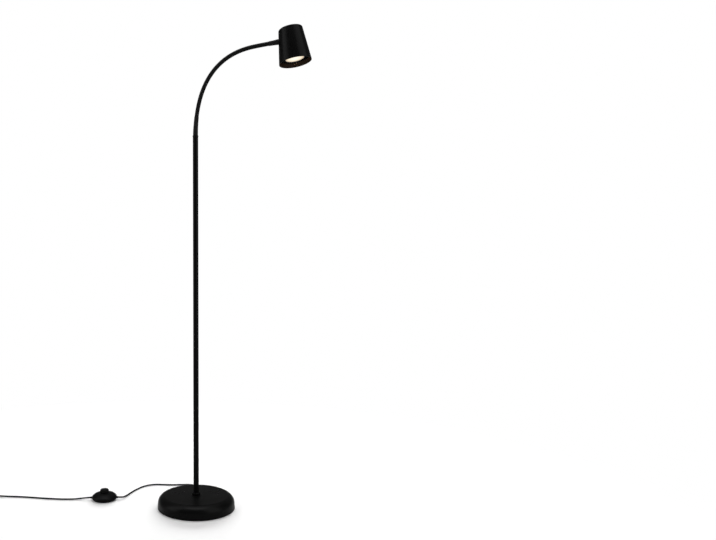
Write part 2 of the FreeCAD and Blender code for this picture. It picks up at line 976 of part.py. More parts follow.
def base_to_switch():
    end, way = switch_end(1)
    exit_y = base_radius + bush_outside
    return [
        vec(0, exit_y, bush_height),
        vec(0, exit_y + 15, bush_height - 0.9),
        vec(-0.5, 142, 3.0),
        vec(-4, 158, cord_floor),
        vec(-14, 172.5, cord_floor),
        vec(-31, 179, cord_floor),
        vec(-52, 176.5, cord_floor),
        vec(-76, 172.5, cord_floor),
        vec(-100, 171.5, cord_floor),
        vec(-122, 173, cord_floor),
        vec(-141, 170, cord_floor),
        vec(-156, 160.5, cord_floor),
        vec(-167, 147, cord_floor),
        vec(-176, 130, cord_floor),
        vec(-183.5, 112, cord_floor),
        vec(-188.5, 97, cord_floor),
        vec(-192.3, 85, 2.2),
        vec(-194.6, 75, 2.6),
        vec(-197.2, 64, 3.4),
        end + vec(14.8, 7.0, -1.1),
        end + way * 8.5 - up * 0.3,
        end,
    ]


def switch_to_coil():
    start, way = switch_end(-1)
    coil_top = coil_y + coil_start_radius
    return [
        start,
        start + way * 12 - up * 0.6,
        start + way * 27 - up * 2.6 + vec(0, 0.8),
        vec(-337, 29.5, cord_floor),
        vec(-364, 27.5, cord_floor),
        vec(-394, 28, cord_floor),
        vec(-424, 31, cord_floor),
        vec(-454, 35, cord_floor),
        vec(-484, 37, cord_floor),
        vec(-514, 36.5, cord_floor + 0.3),
        vec(-541, coil_top, coil_floor()),
        vec(coil_x + cord_diameter, coil_top, coil_floor()),
    ]


def coil_floor():
    return tie_thickness + tie_clearance + cord_radius


def coil_point(turn):
    """Centre of the coiled cord after some turns: spirals in, climbs a layer, spirals out."""
    slope = coil_pitch
    inner = coil_start_radius - slope * coil_turns_in
    past = turn - coil_turns_in
    if past <= 0:
        radius = coil_start_radius - slope * turn
    elif past < 0.5:
        radius = inner - slope * past + slope * past**2 * 2
    else:
        radius = inner + slope * (past - 0.5)
    climb = min(max(past / 0.5, 0.0), 1.0)
    height = coil_floor() + coil_layer * climb**2 * (3 - 2 * climb)
    angle = math.radians(90) + 2 * math.pi * turn
    return vec(coil_x + radius * math.cos(angle), coil_y + radius * math.sin(angle), height)


def coil_way(turn):
    nudge = 1e-5
    way = coil_point(turn + nudge) - coil_point(turn - nudge)
    way.normalize()
    return way


def coil_wire():
    total = coil_turns_in + 0.5 + coil_turns_out
    steps = round(total * 4)
    turns = [total * k / steps for k in range(steps + 1)]
    points = [coil_point(turn) for turn in turns]
    ways = [coil_way(turn) for turn in turns]
    ways[0] = vec(-1, 0)
    ways[-1] = vec(0, -1)
    edges = [Part.makeLine(points[0] - ways[0] * cord_diameter, points[0])]
    for k in range(steps):
        edges += biarc(points[k], ways[k], points[k + 1], ways[k + 1])
    edges.append(Part.makeLine(points[-1], points[-1] + ways[-1] * cord_diameter))
    return Part.Wire(edges), points[-1] + ways[-1] * cord_diameter


def print_coil_gap(wire):
    samples = []
    travelled = 0.0
    for edge in wire.Edges:
        count = max(2, int(edge.Length / 1.5))
        for point in edge.discretize(count + 1)[:-1]:
            samples.append((travelled, point))
            travelled += edge.Length / count
    least = min(
        a[1].distanceToPoint(b[1])
        for i, a in enumerate(samples)
        for b in samples[i + 1 :]
        if b[0] - a[0] > 6 * cord_diameter
    )
    print("coil length %.0f, least gap to itself %.2f" % (wire.Length, least - cord_diameter))


def cord_coil():
    wire, _ = coil_wire()
    print_coil_gap(wire)
    start = coil_point(0) + vec(cord_diameter, 0)
    return swept_tube(wire, cord_radius, start, vec(-1, 0))


def coil_tie():
    """Flat band round all the turns, on the coil's near side."""
    gap = cord_radius + tie_clearance
    inner = coil_start_radius - coil_pitch * (coil_turns_in + 0.25) - gap
    outer = coil_start_radius + gap
    low = tie_thickness
    high = coil_floor() + coil_layer + gap
    hole = Part.makeBox(tie_width, outer - inner, high - low, vec(-tie_width / 2, inner, low))
    wide = tie_thickness
    band = Part.makeBox(
        tie_width, outer - inner + 2 * wide, high - low + 2 * wide, vec(-tie_width / 2, inner - wide, 0)
    )
    band = band.cut(hole)
    return placed(band, vec(coil_x, coil_y), vec(-1, 0), up)


# ---- plug, made lying flat with its pins along -y


def plug_frame():
    _, end = coil_wire()
    return end, vec(1, 0), up


def plug_body():
    """Flat two-pin plug that lies on the floor, with a tapered tail round the cord."""
    half = plug_width / 2
    tail = plug_tail_width / 2
    end, _, _ = plug_frame()
    front = -(plug_relief + plug_length)
    rear = -plug_relief
    points = [
        vec(-half, front),
        vec(half, front),
        vec(half, front + plug_shoulder),
        vec(tail, rear),
        vec(-tail, rear),
        vec(-half, front + plug_shoulder),
        vec(-half, front),
    ]
    low = slip_gap - end.z
    body = Part.Face(Part.makePolygon(points)).extrude(vec(0, 0, plug_thickness))
    body = body.makeFillet(plug_round, body.Edges)
    body.translate(vec(0, 0, low))
    root = cord_radius + plug_relief_wall
    relief = cone_between(root, cord_radius + plug_relief_tip_wall, vec(0, rear - 1), vec(0, 0))
    body = body.fuse(relief).removeSplitter()
    return body.cut(rod(cord_radius, vec(0, 0), vec(0, -4)))


def plug_pins():
    end, _, _ = plug_frame()
    front = -(plug_relief + plug_length)
    height = plug_thickness / 2 + slip_gap - end.z
    pins = []
    for side in (-1, 1):
        root = vec(side * plug_pin_spacing / 2, front, height)
        end = root - vec(0, plug_pin_length)
        neck = end + vec(0, plug_pin_taper)
        shank = rod(plug_pin_radius, root, neck)
        tip = cone_between(plug_pin_radius, plug_pin_radius / 2, neck, end)
        pins.append(shank.fuse(tip).removeSplitter())
    return group(pins)


def main():
    os.makedirs("parts", exist_ok=True)
    save(base_cover(), "base_cover")
    save(base_weight(), "base_weight")
    save(base_pad(), "base_pad")
    save(stem_washer(), "stem_washer")
    save(stem_nut(), "stem_nut")
    save(pole_stem(), "pole_stem")
    save(pole_collar(), "pole_collar")
    save(pole_tube(), "pole")
    save(pole_insert(), "pole_insert")
    save(pole_ring(), "pole_ring")
    save(inner_cable(), "inner_cable")

    stations = neck_stations()
    save(neck_root(stations), "neck_root")
    save(neck_boot(stations), "neck_boot")
    for k in range(1, neck_balls):
        link = neck_link(stations[k], stations[k + 1], True, True)
        save(link, "neck_link_%d" % k)
    save(neck_end_link(stations), "neck_end_link")
    for k, (place, angle) in enumerate(stations):
        print("neck station %d at %.3f %.3f, angle %.3f" % (k, place.x, place.z, math.degrees(angle)))

    head = head_frame(stations)
    print("mouth at %.3f %.3f, tilt %.3f" % (head[0].x, head[0].z, shade_tilt))
    head_pieces = {
        "head_ferrule": ferrule(),
        "head_nipple": head_nipple(),
        "head_nut": head_nut(),
        "shade": shade(),
        "lampholder_bracket": lampholder_bracket(),
        "lampholder": lampholder(),
        "lampholder_screws": lampholder_screws(),
        "lamp_leads": lamp_leads(),
        "bulb_body": bulb_body(),
        "bulb_rim": bulb_rim(),
        "bulb_lens": bulb_lens(),
        "bulb_pins": bulb_pins(),
    }
    for node, piece in head_pieces.items():
        save(placed(piece, *head), node)

    switch_pieces = {
        "switch_lower_case": switch_lower_case(),
        "switch_upper_case": switch_upper_case(),
        "switch_button": switch_button(),
        "switch_spring": switch_spring(),
        "switch_contact_block": contact_block(),
        "switch_screws": switch_screws(),
        "switch_reliefs": switch_reliefs(),
    }
    for node, piece in switch_pieces.items():
        save(placed(piece, *switch_frame()), node)

    save(base_bush(), "base_bush")
    save(cord_tube("cord_to_switch", base_to_switch()), "cord_to_switch")
    save(cord_tube("cord_to_coil", switch_to_coil()), "cord_to_coil")
    save(cord_coil(), "cord_coil")
    save(coil_tie(), "coil_tie")
    save(placed(plug_body(), *plug_frame()), "plug_body")
    save(placed(plug_pins(), *plug_frame()), "plug_pins")


main()
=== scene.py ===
import json
import math

import bmesh
import bpy
from mathutils import Matrix, Vector


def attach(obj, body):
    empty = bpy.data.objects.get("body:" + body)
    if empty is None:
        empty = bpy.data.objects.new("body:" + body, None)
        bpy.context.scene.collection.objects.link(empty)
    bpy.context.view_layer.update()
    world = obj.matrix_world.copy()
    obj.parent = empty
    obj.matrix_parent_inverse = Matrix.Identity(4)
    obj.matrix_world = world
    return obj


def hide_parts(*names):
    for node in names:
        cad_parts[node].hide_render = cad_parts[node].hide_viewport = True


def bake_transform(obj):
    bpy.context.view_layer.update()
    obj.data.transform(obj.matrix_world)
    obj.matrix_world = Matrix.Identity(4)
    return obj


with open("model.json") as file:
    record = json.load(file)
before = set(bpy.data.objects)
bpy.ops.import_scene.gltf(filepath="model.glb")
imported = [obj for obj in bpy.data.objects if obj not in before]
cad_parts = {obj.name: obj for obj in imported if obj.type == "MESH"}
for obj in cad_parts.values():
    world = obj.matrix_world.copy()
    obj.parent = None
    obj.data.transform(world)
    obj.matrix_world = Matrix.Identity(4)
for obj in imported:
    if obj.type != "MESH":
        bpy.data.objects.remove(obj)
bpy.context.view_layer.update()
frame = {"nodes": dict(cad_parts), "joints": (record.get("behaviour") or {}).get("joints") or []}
mm = 0.001

# camera, as the photograph was taken

viewpoint = {
    "distance": 1680.95 * mm,  # from the pole's axis, measured level
    "height": 588.43 * mm,
    "turn": math.radians(4.907),  # round the pole, to the shade's side
    "roll": math.radians(-0.114),
    "focalPixels": 646.44,
    "framePixels": (716, 540),
    "aimPixel": (195.78, 280.91),  # the point of the frame that the camera looks straight at
    "sensor": 36.0,
    "nearest": 0.01,
}


def makeCamera(spec):
    wide, high = spec["framePixels"]
    data = bpy.data.cameras.new("camera")
    data.sensor_width = spec["sensor"]
    data.lens = spec["focalPixels"] / wide * spec["sensor"]
    data.shift_x = (wide / 2 - spec["aimPixel"][0]) / wide
    data.shift_y = (spec["aimPixel"][1] - high / 2) / wide
    data.clip_start = spec["nearest"]
    camera = bpy.data.objects.new("camera", data)
    bpy.context.scene.collection.objects.link(camera)
    turn = spec["turn"]
    camera.location = (spec["distance"] * math.sin(turn), -spec["distance"] * math.cos(turn), spec["height"])
    upright = Matrix.Rotation(turn, 4, "Z") @ Matrix.Rotation(math.pi / 2, 4, "X")
    camera.rotation_euler = (upright @ Matrix.Rotation(spec["roll"], 4, "Z")).to_euler()
    bpy.context.scene.camera = camera


makeCamera(viewpoint)

# small tools: nodes


def feed(tree, node, sockets):  # values and links for a node's inputs
    for name, value in sockets.items():
        if isinstance(value, bpy.types.NodeSocket):
            tree.links.new(value, node.inputs[name])
        else:
            node.inputs[name].default_value = value
    return node


def add(tree, kind, sockets=None, **settings):  # a node with its settings, values and links
    node = tree.nodes.new(kind)
    for name, value in settings.items():
        setattr(node, name, value)
    return feed(tree, node, sockets or {})


def calc(tree, operation, *terms):
    return add(tree, "ShaderNodeMath", dict(enumerate(terms)), operation=operation).outputs[0]


def vectorCalc(tree, operation, *terms):
    return add(tree, "ShaderNodeVectorMath", dict(enumerate(terms)), operation=operation).outputs[0]


def scaled(tree, vector, factor):
    return add(tree, "ShaderNodeVectorMath", {0: vector, "Scale": factor}, operation="SCALE").outputs[0]


def distance(tree, here, there):
    return add(tree, "ShaderNodeVectorMath", {0: here, 1: there}, operation="DISTANCE").outputs["Value"]


def ranged(tree, value, low, high, start=0.0, stop=1.0, **settings):
    sockets = {"Value": value, "From Min": start, "From Max": stop, "To Min": low, "To Max": high}
    return add(tree, "ShaderNodeMapRange", sockets, **settings).outputs[0]


def noise(tree, spot, scale, detail=2.0, roughness=0.5):
    sockets = {"Vector": spot, "Scale": scale, "Detail": detail, "Roughness": roughness}
    return add(tree, "ShaderNodeTexNoise", sockets).outputs["Fac"]


def newTree(name, kind, inputs, outputs=(("Geometry", "Geometry"),)):
    tree = bpy.data.node_groups.new(name, kind)
    for label, socketType, value in inputs:
        socket = tree.interface.new_socket(label, in_out="INPUT", socket_type="NodeSocket" + socketType)
        if value is not None:
            socket.default_value = value
    for label, socketType in outputs:
        tree.interface.new_socket(label, in_out="OUTPUT", socket_type="NodeSocket" + socketType)
    return tree, tree.nodes.new("NodeGroupInput").outputs


# finishes


def makeGrain():  # fine bumps with a slow mottle of tone and gloss
    inputs = [
        ("Coordinates", "Vector", None),
        ("Grain Size", "Float", 0.6 * mm),
        ("Grain Height", "Float", 0.01 * mm),
        ("Mottle Size", "Float", 40 * mm),
        ("Dark", "Color", (0.01, 0.01, 0.01, 1)),
        ("Light", "Color", (0.02, 0.02, 0.02, 1)),
        ("Least Roughness", "Float", 0.4),
        ("Most Roughness", "Float", 0.5),
    ]
    outputs = [("Color", "Color"), ("Roughness", "Float"), ("Normal", "Vector")]
    tree, given = newTree("surface grain", "ShaderNodeTree", inputs, outputs)
    spot = given["Coordinates"]
    grain = noise(tree, spot, calc(tree, "DIVIDE", 1.0, given["Grain Size"]), 2.0, 0.55)
    mottle = noise(tree, spot, calc(tree, "DIVIDE", 1.0, given["Mottle Size"]), 4.0, 0.6)
    bump = {"Height": grain, "Distance": given["Grain Height"], "Strength": 1.0}
    tone = {0: mottle, 6: given["Dark"], 7: given["Light"]}
    usual = (0.3, 0.7)  # between which the mottle mostly lies
    made = {
        "Color": add(tree, "ShaderNodeMix", tone, data_type="RGBA").outputs[2],
        "Roughness": ranged(tree, mottle, given["Least Roughness"], given["Most Roughness"], *usual),
        "Normal": add(tree, "ShaderNodeBump", bump).outputs[0],
    }
    feed(tree, tree.nodes.new("NodeGroupOutput"), made)
    return tree


surfaceGrain = makeGrain()


def newMaterial(name):
    material = bpy.data.materials.new(name)
    material.use_nodes = True
    return material, material.node_tree, material.node_tree.nodes["Principled BSDF"]


def finish(name, tones, roughness, grain, mottle=40, warmth=(0, 0), specular=0.5, metal=0.0, sheen=0.0):
    # tones, roughness and warmth have two ends; grain is a size and a height, in mm as the mottle's size is
    material, tree, shader = newMaterial(name)
    dark, light = [(value * (1 + warm), value, value * (1 - warm), 1) for value, warm in zip(tones, warmth)]
    values = {
        "Coordinates": add(tree, "ShaderNodeTexCoord").outputs["Object"],
        "Grain Size": grain[0] * mm,
        "Grain Height": grain[1] * mm,
        "Mottle Size": mottle * mm,
        "Dark": dark,
        "Light": light,
        "Least Roughness": roughness[0],
        "Most Roughness": roughness[1],
    }
    made = add(tree, "ShaderNodeGroup", values, node_tree=surfaceGrain).outputs
    sockets = {"Base Color": made["Color"], "Roughness": made["Roughness"], "Normal": made["Normal"]}
    feed(tree, shader, {**sockets, "Specular IOR Level": specular, "Metallic": metal, "Sheen Weight": sheen})
    return material


blackLacquer = finish("black lacquer", (0.0025, 0.004), (0.26, 0.33), (0.7, 0.008), specular=0.07)
# the black lacquer made darker for the pole: this darkness is painted shade
shadedPoleLacquer = finish("pole lacquer painted darker", (0.0018, 0.003), (0.28, 0.34), (0.5, 0.006), specular=0.07)
bootRubber = finish("boot rubber", (0.006, 0.008), (0.46, 0.56), (0.4, 0.01), specular=0.12)
castIron = finish("cast iron", (0.05, 0.14), (0.6, 0.8), (1.5, 0.12), 12, metal=0.7)
padFelt = finish("pad felt", (0.012, 0.03), (0.9, 1.0), (0.25, 0.15), 3, sheen=0.3)
zincSteel = finish("zinc steel", (0.42, 0.55), (0.28, 0.42), (0.3, 0.004), 5, metal=1.0)
glazedCeramic = finish("glazed ceramic", (0.55, 0.68), (0.2, 0.3), (1.2, 0.01), 9, (0.06, 0.05))
leadSleeve = finish("lead sleeve", (0.5, 0.65), (0.5, 0.65), (0.3, 0.02), 4, (0.1, 0.08))
bulbShell = finish("bulb shell", (0.6, 0.7), (0.35, 0.45), (0.4, 0.006), 15)
bulbRing = finish("bulb ring", (0.7, 0.8), (0.18, 0.26), (0.3, 0.003), 8, metal=1.0)
pinMetal = finish("nickel pins", (0.5, 0.62), (0.15, 0.25), (0.3, 0.002), 6, (0.04, 0.03), metal=1.0)
switchPlastic = finish("switch plastic", (0.003, 0.0045), (0.32, 0.4), (0.35, 0.01), 18, specular=0.07)
cordJacket = finish("cord jacket", (0.004, 0.006), (0.4, 0.5), (0.6, 0.02), 25, specular=0.1)
plugPlastic = finish("plug plastic", (0.004, 0.006), (0.36, 0.46), (0.3, 0.01), 12, specular=0.1)


def makeNeckSkin():  # the wound tube, with painted shade that darkens it down in its grooves
    material = finish("neck skin", (0.003, 0.0045), (0.36, 0.44), (0.3, 0.01), specular=0.09)
    tree = material.node_tree
    shader = tree.nodes["Principled BSDF"]
    # painted shade: the base colour falls to this share of itself at the bottom of each groove
    grooveShadeShare = 0.25
    crest = add(tree, "ShaderNodeAttribute", attribute_name="crest").outputs["Fac"]
    tone = shader.inputs["Base Color"].links[0].from_socket
    feed(tree, shader, {"Base Color": scaled(tree, tone, ranged(tree, crest, grooveShadeShare, 1.0))})
    return material


neckSkin = makeNeckSkin()

lensLight = {
    "radius": 23.2 * mm,
    "strength": 1.0,
    "base": (0.001, 0.001, 0.001),
    "frostScale": 900.0,
    "roughness": (0.4, 0.6),
    "tones": [  # share of the radius, colour of the light
        (0.0, (1.0, 0.98, 0.88)),
        (0.45, (1.0, 0.95, 0.78)),
        (0.8, (0.92, 0.8, 0.58)),
        (1.0, (0.5, 0.33, 0.2)),
    ],
}


def makeLensGlow(centre):  # frosted face, brightest in the middle
    material, tree, shader = newMaterial("lens glow")
    spot = add(tree, "ShaderNodeTexCoord").outputs["Object"]
    share = calc(tree, "DIVIDE", distance(tree, spot, tuple(centre)), lensLight["radius"])
    ramp = add(tree, "ShaderNodeValToRGB", {"Fac": share})
    ramp.color_ramp.interpolation = "B_SPLINE"
    marks = ramp.color_ramp.elements
    while len(marks) < len(lensLight["tones"]):
        marks.new(0.5)
    for mark, (at, colour) in zip(marks, lensLight["tones"]):
        mark.position = at
        mark.color = (*colour, 1)
    sockets = {
        "Base Color": (*lensLight["base"], 1),
        "Roughness": ranged(tree, noise(tree, spot, lensLight["frostScale"]), *lensLight["roughness"]),
        "Emission Color": ramp.outputs["Color"],
        "Emission Strength": lensLight["strength"],
    }
    feed(tree, shader, sockets)
    return material


print("finishes made")

# small tools: meshes


def linked(name, data):
    piece = bpy.data.objects.new(name, data)
    bpy.context.scene.collection.objects.link(piece)
    return piece


def roundedOutline(corners, steps=7):
    # corners are (radius, height) or (radius, height, rounding); a rounding is an arc's radius
    points = []
    count = len(corners)
    for k, corner in enumerate(corners):
        here = Vector(corner[:2])
        rounding = corner[2] if len(corner) > 2 else 0.0
        if rounding == 0.0:
            points.append(here)
            continue
        back = (Vector(corners[k - 1][:2]) - here).normalized()
        on = (Vector(corners[(k + 1) % count][:2]) - here).normalized()
        half = back.angle(on) / 2
        reach = rounding / math.tan(half)
        middle = here + (back + on).normalized() * (rounding / math.sin(half))
        first = here + back * reach - middle
        last = here + on * reach - middle
        for step in range(steps + 1):
            points.append(middle + first.slerp(last, step / steps).normalized() * rounding)
    return points


def skin(shape, loops, closed=True):
    # faces between each loop and the next, where one vertex alone is a pole; open ends get a cap
    for here, there in zip(loops, loops[1:] + loops[:1] if closed else loops[1:]):
        count = max(len(here), len(there))
        if count == 1:
            continue
        for k in range(count):
            after = (k + 1) % count
            near = [here[at % len(here)] for at in (k, after)]
            far = [there[at % len(there)] for at in (after, k)]
            shape.faces.new(dict.fromkeys(near + far))
    if not closed:
        shape.faces.new(loops[0])
        shape.faces.new(loops[-1])


def turnedMesh(name, corners, sides=96, place=None, steps=7):
    # a closed outline turned round Z, or round a path when place gives a matrix for each height
    shape = bmesh.new()
    rings = []
    for point in roundedOutline(corners, steps):
        matrix = place(point.y) if place else Matrix.Translation((0, 0, point.y))
        if point.x < 1e-7:
            rings.append([shape.verts.new(matrix.translation)])
            continue
        turns = [2 * math.pi * k / sides for k in range(sides)]
        ring = [matrix @ Vector((point.x * math.cos(turn), point.x * math.sin(turn), 0)) for turn in turns]
        rings.append([shape.verts.new(vertex) for vertex in ring])
    skin(shape, rings)
    return meshPiece(name, shape)


def smoothed(mesh, sharp):  # smooth, apart from edges sharper than so many degrees
    mesh.polygons.foreach_set("use_smooth", [True] * len(mesh.polygons))
    mesh.set_sharp_from_angle(angle=math.radians(sharp))
    return mesh


def meshPiece(name, shape, sharp=38.0):
    bmesh.ops.recalc_face_normals(shape, faces=shape.faces)
    mesh = bpy.data.meshes.new(name)
    shape.to_mesh(mesh)
    shape.free()
    return linked(name, smoothed(mesh, sharp))


def put(piece, matrix):
    piece.data.transform(matrix)
    return piece


def dress(piece, material, body, slot, *nodes):
    piece.data.materials.clear()
    piece.data.materials.append(material)
    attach(piece, body)
    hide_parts(*nodes)
    return piece


def turnedPiece(name, outline, sides, place, material, body, slot, node, steps=7):
    return dress(put(turnedMesh(name, outline, sides, steps=steps), place), material, body, slot, node)


def applied(piece, name):  # the piece's mesh as its modifiers leave it, in an object of its own
    bpy.context.view_layer.update()
    evaluated = piece.evaluated_get(bpy.context.evaluated_depsgraph_get())
    mesh = bpy.data.meshes.new_from_object(evaluated)
    mesh.name = name
    bpy.data.objects.remove(piece)
    return linked(name, mesh)


def grown(name, tree, values):  # what a geometry tree makes, as a plain mesh
    seed = linked(name + "Seed", bpy.data.meshes.new(name + "Seed"))
    modifier = seed.modifiers.new("grow", "NODES")
    modifier.node_group = tree
    for item in tree.interface.items_tree:
        if item.in_out == "INPUT" and item.name in values:
            modifier[item.identifier] = values[item.name]
    return applied(seed, name)


def finished(tree, geometry, material):  # every tree ends in Realize Instances and Set Material
    real = add(tree, "GeometryNodeRealizeInstances", {"Geometry": geometry})
    painted = add(tree, "GeometryNodeSetMaterial", {"Geometry": real.outputs[0], "Material": material})
    feed(tree, tree.nodes.new("NodeGroupOutput"), {"Geometry": painted.outputs[0]})
    return tree


def copied(tree, given, line, each):  # the given shape on every point of a line
    points = add(tree, "GeometryNodeMeshLine", {"Count": given["Count"], **line}).outputs["Mesh"]
    shape = add(tree, "GeometryNodeObjectInfo", {"Object": given["Shape"]}).outputs["Geometry"]
    made = add(tree, "GeometryNodeInstanceOnPoints", {"Points": points, "Instance": shape, **each})
    return finished(tree, made.outputs[0], given["Material"])


def makeRowTree():  # copies of a shape in a row, each smaller than the one before
    inputs = [
        ("Shape", "Object", None),
        ("Count", "Int", 3),
        ("Start", "Vector", (0, 0, 0)),
        ("Step", "Vector", (0, 0, 0.002)),
        ("Shrink", "Float", 0.0),
        ("Material", "Material", None),
    ]
    tree, given = newTree("row of ribs", "GeometryNodeTree", inputs)
    index = add(tree, "GeometryNodeInputIndex").outputs[0]
    size = calc(tree, "SUBTRACT", 1.0, calc(tree, "MULTIPLY", given["Shrink"], index))
    scale = add(tree, "ShaderNodeCombineXYZ", {"X": size, "Y": size, "Z": 1.0}).outputs[0]
    return copied(tree, given, {"Start Location": given["Start"], "Offset": given["Step"]}, {"Scale": scale})


def makeCircleTree():  # copies of a shape round the Z axis
    inputs = [
        ("Shape", "Object", None),
        ("Count", "Int", 3),
        ("First Turn", "Float", 0.0),
        ("Material", "Material", None),
    ]
    tree, given = newTree("ring of copies", "GeometryNodeTree", inputs)
    index = add(tree, "GeometryNodeInputIndex").outputs[0]
    step = calc(tree, "DIVIDE", 2 * math.pi, given["Count"])
    turn = calc(tree, "MULTIPLY_ADD", index, step, given["First Turn"])
    spin = add(tree, "ShaderNodeCombineXYZ", {"Z": turn}).outputs[0]
    return copied(tree, given, {"Offset": (0, 0, 0)}, {"Rotation": spin})


def makeWindingTree():  # the gooseneck's skin: wire wound round a path
    inputs = [
        ("Path", "Object", None),
        ("From", "Float", 0.0),
        ("To", "Float", 0.1),
        ("Rows", "Int", 100),
        ("Sides", "Int", 32),
        ("Radius", "Float", 5.4 * mm),
        ("Pitch", "Float", 2.6 * mm),
        ("Depth", "Float", 0.5 * mm),
        ("Material", "Material", None),
    ]
    tree, given = newTree("wound tube", "GeometryNodeTree", inputs)
    across = calc(tree, "ADD", given["Sides"], 1.0)
    size = {"Size X": 1.0, "Size Y": 1.0, "Vertices X": given["Rows"], "Vertices Y": across}
    grid = add(tree, "GeometryNodeMeshGrid", size).outputs["Mesh"]
    apart = add(tree, "ShaderNodeSeparateXYZ", {0: add(tree, "GeometryNodeInputPosition").outputs[0]})
    along = calc(tree, "ADD", apart.outputs["X"], 0.5)
    around = calc(tree, "ADD", apart.outputs["Y"], 0.5)
    whole = calc(tree, "SUBTRACT", given["To"], given["From"])
    length = calc(tree, "MULTIPLY_ADD", along, whole, given["From"])
    path = add(tree, "GeometryNodeObjectInfo", {"Object": given["Path"]}).outputs["Geometry"]
    sample = add(tree, "GeometryNodeSampleCurve", {"Curves": path, "Length": length}, mode="LENGTH")
    phase = calc(tree, "SUBTRACT", calc(tree, "DIVIDE", length, given["Pitch"]), around)
    wave = calc(tree, "ABSOLUTE", calc(tree, "SINE", calc(tree, "MULTIPLY", phase, math.pi)))
    crest = calc(tree, "POWER", wave, 0.7)  # fuller than a sine, as wound wire is
    sunk = calc(tree, "MULTIPLY", calc(tree, "SUBTRACT", 1.0, crest), given["Depth"])
    radius = calc(tree, "SUBTRACT", given["Radius"], sunk)
    angle = calc(tree, "MULTIPLY", around, 2 * math.pi)
    sideways = (0.0, 1.0, 0.0)
    outside = vectorCalc(tree, "CROSS_PRODUCT", sideways, sample.outputs["Tangent"])
    parts = [
        scaled(tree, outside, calc(tree, "COSINE", angle)),
        scaled(tree, sideways, calc(tree, "SINE", angle)),
    ]
    outward = vectorCalc(tree, "ADD", *parts)
    spot = vectorCalc(tree, "ADD", sample.outputs["Position"], scaled(tree, outward, radius))
    named = {"Geometry": grid, "Name": "crest", "Value": crest}
    kept = add(tree, "GeometryNodeStoreNamedAttribute", named, data_type="FLOAT", domain="POINT")
    moved = add(tree, "GeometryNodeSetPosition", {"Geometry": kept.outputs[0], "Position": spot})
    closed = add(tree, "GeometryNodeMergeByDistance", {"Geometry": moved.outputs[0], "Distance": 1e-6})
    return finished(tree, closed.outputs[0], given["Material"])


rowTree = makeRowTree()
circleTree = makeCircleTree()
windingTree = makeWindingTree()


def closeEnds(piece):
    shape = bmesh.new()
    shape.from_mesh(piece.data)
    edges = [edge for edge in shape.edges if edge.is_boundary]
    bmesh.ops.holes_fill(shape, edges=edges, sides=0)
    bmesh.ops.recalc_face_normals(shape, faces=shape.faces)
    shape.to_mesh(piece.data)
    shape.free()
    smoothed(piece.data, 60)
    return piece


# mains cord: base to foot switch, foot switch to the coil, in the record's frame and in metres

cordSizes = {
    "radius": 2.0 * mm,
    "bore": 2.02 * mm,  # of the sleeves that it passes
    "floor": 2.05 * mm,  # height of a lying cord's centre
    "switchPlace": (-0.2517, 0.0406),
    "switchTurn": math.radians(7.0),
    "switchReach": 37.4 * mm,  # from the switch's middle to its sleeves' tips
    "switchSeam": 5.5 * mm,
    "exit": (0.0, 0.112, 0.0058),
    "toSwitch": 0.34,
    "toPlug": 1.35,
}

coilSizes = {
    "centre": (-0.573, 0.004),
    "startRadius": 32.0 * mm,
    "pitch": 4.6 * mm,
    "layer": 4.6 * mm,
    "floor": 3.1 * mm,  # over the tie
    "turnsIn": 3.5,
    "turnsOut": 3.25,
    "pointsPerTurn": 24,
    "tail": 4.0 * mm,
}


def switchEnd(side):
    turn = cordSizes["switchTurn"]
    way = Vector((math.cos(turn), math.sin(turn), 0)) * side
    middle = Vector((*cordSizes["switchPlace"], cordSizes["switchSeam"]))
    return middle + way * cordSizes["switchReach"], way


def lying(*spots):  # points of a cord that rests on the floor
    return [Vector((x, y, cordSizes["floor"])) for x, y in spots]


def routeToSwitch():
    end, way = switchEnd(1)
    behind = [(-0.004, 0.158), (-0.014, 0.1725), (-0.031, 0.179), (-0.052, 0.1765), (-0.076, 0.1725)]
    beside = [(-0.1, 0.1715), (-0.122, 0.173), (-0.141, 0.17), (-0.156, 0.1605), (-0.167, 0.147)]
    forward = [(-0.176, 0.13), (-0.1835, 0.112), (-0.1885, 0.097)]
    return [
        Vector(cordSizes["exit"]),
        Vector((0, 0.127, 0.0049)),
        Vector((-0.0005, 0.142, 0.003)),
        *lying(*behind, *beside, *forward),
        Vector((-0.1923, 0.085, 0.0022)),
        Vector((-0.1946, 0.075, 0.0026)),
        Vector((-0.1972, 0.064, 0.0034)),
        end + Vector((0.0148, 0.007, -0.0011)),
        end + way * 0.0085 + Vector((0, 0, -0.0003)),
        end,
    ]


def coilPoint(turn):
    inner = coilSizes["startRadius"] - coilSizes["pitch"] * coilSizes["turnsIn"]
    past = turn - coilSizes["turnsIn"]
    if past <= 0:
        radius = coilSizes["startRadius"] - coilSizes["pitch"] * turn
    elif past < 0.5:
        radius = inner - coilSizes["pitch"] * (past - 2 * past**2)
    else:
        radius = inner + coilSizes["pitch"] * (past - 0.5)
    radius /= math.cos(math.pi / coilSizes["pointsPerTurn"])  # the line runs inside its points
    climb = min(max(past / 0.5, 0.0), 1.0)
    height = coilSizes["floor"] + coilSizes["layer"] * climb**2 * (3 - 2 * climb)
    angle = math.radians(90) + 2 * math.pi * turn
    centre = coilSizes["centre"]
    return Vector((centre[0] + radius * math.cos(angle), centre[1] + radius * math.sin(angle), height))


def coilEnd():
    last = coilSizes["turnsIn"] + 0.5 + coilSizes["turnsOut"]
    spot = coilPoint(last)
    flat = Vector((coilSizes["centre"][0], coilSizes["centre"][1], spot.z))
    return flat + (spot - flat) * math.cos(math.pi / coilSizes["pointsPerTurn"])


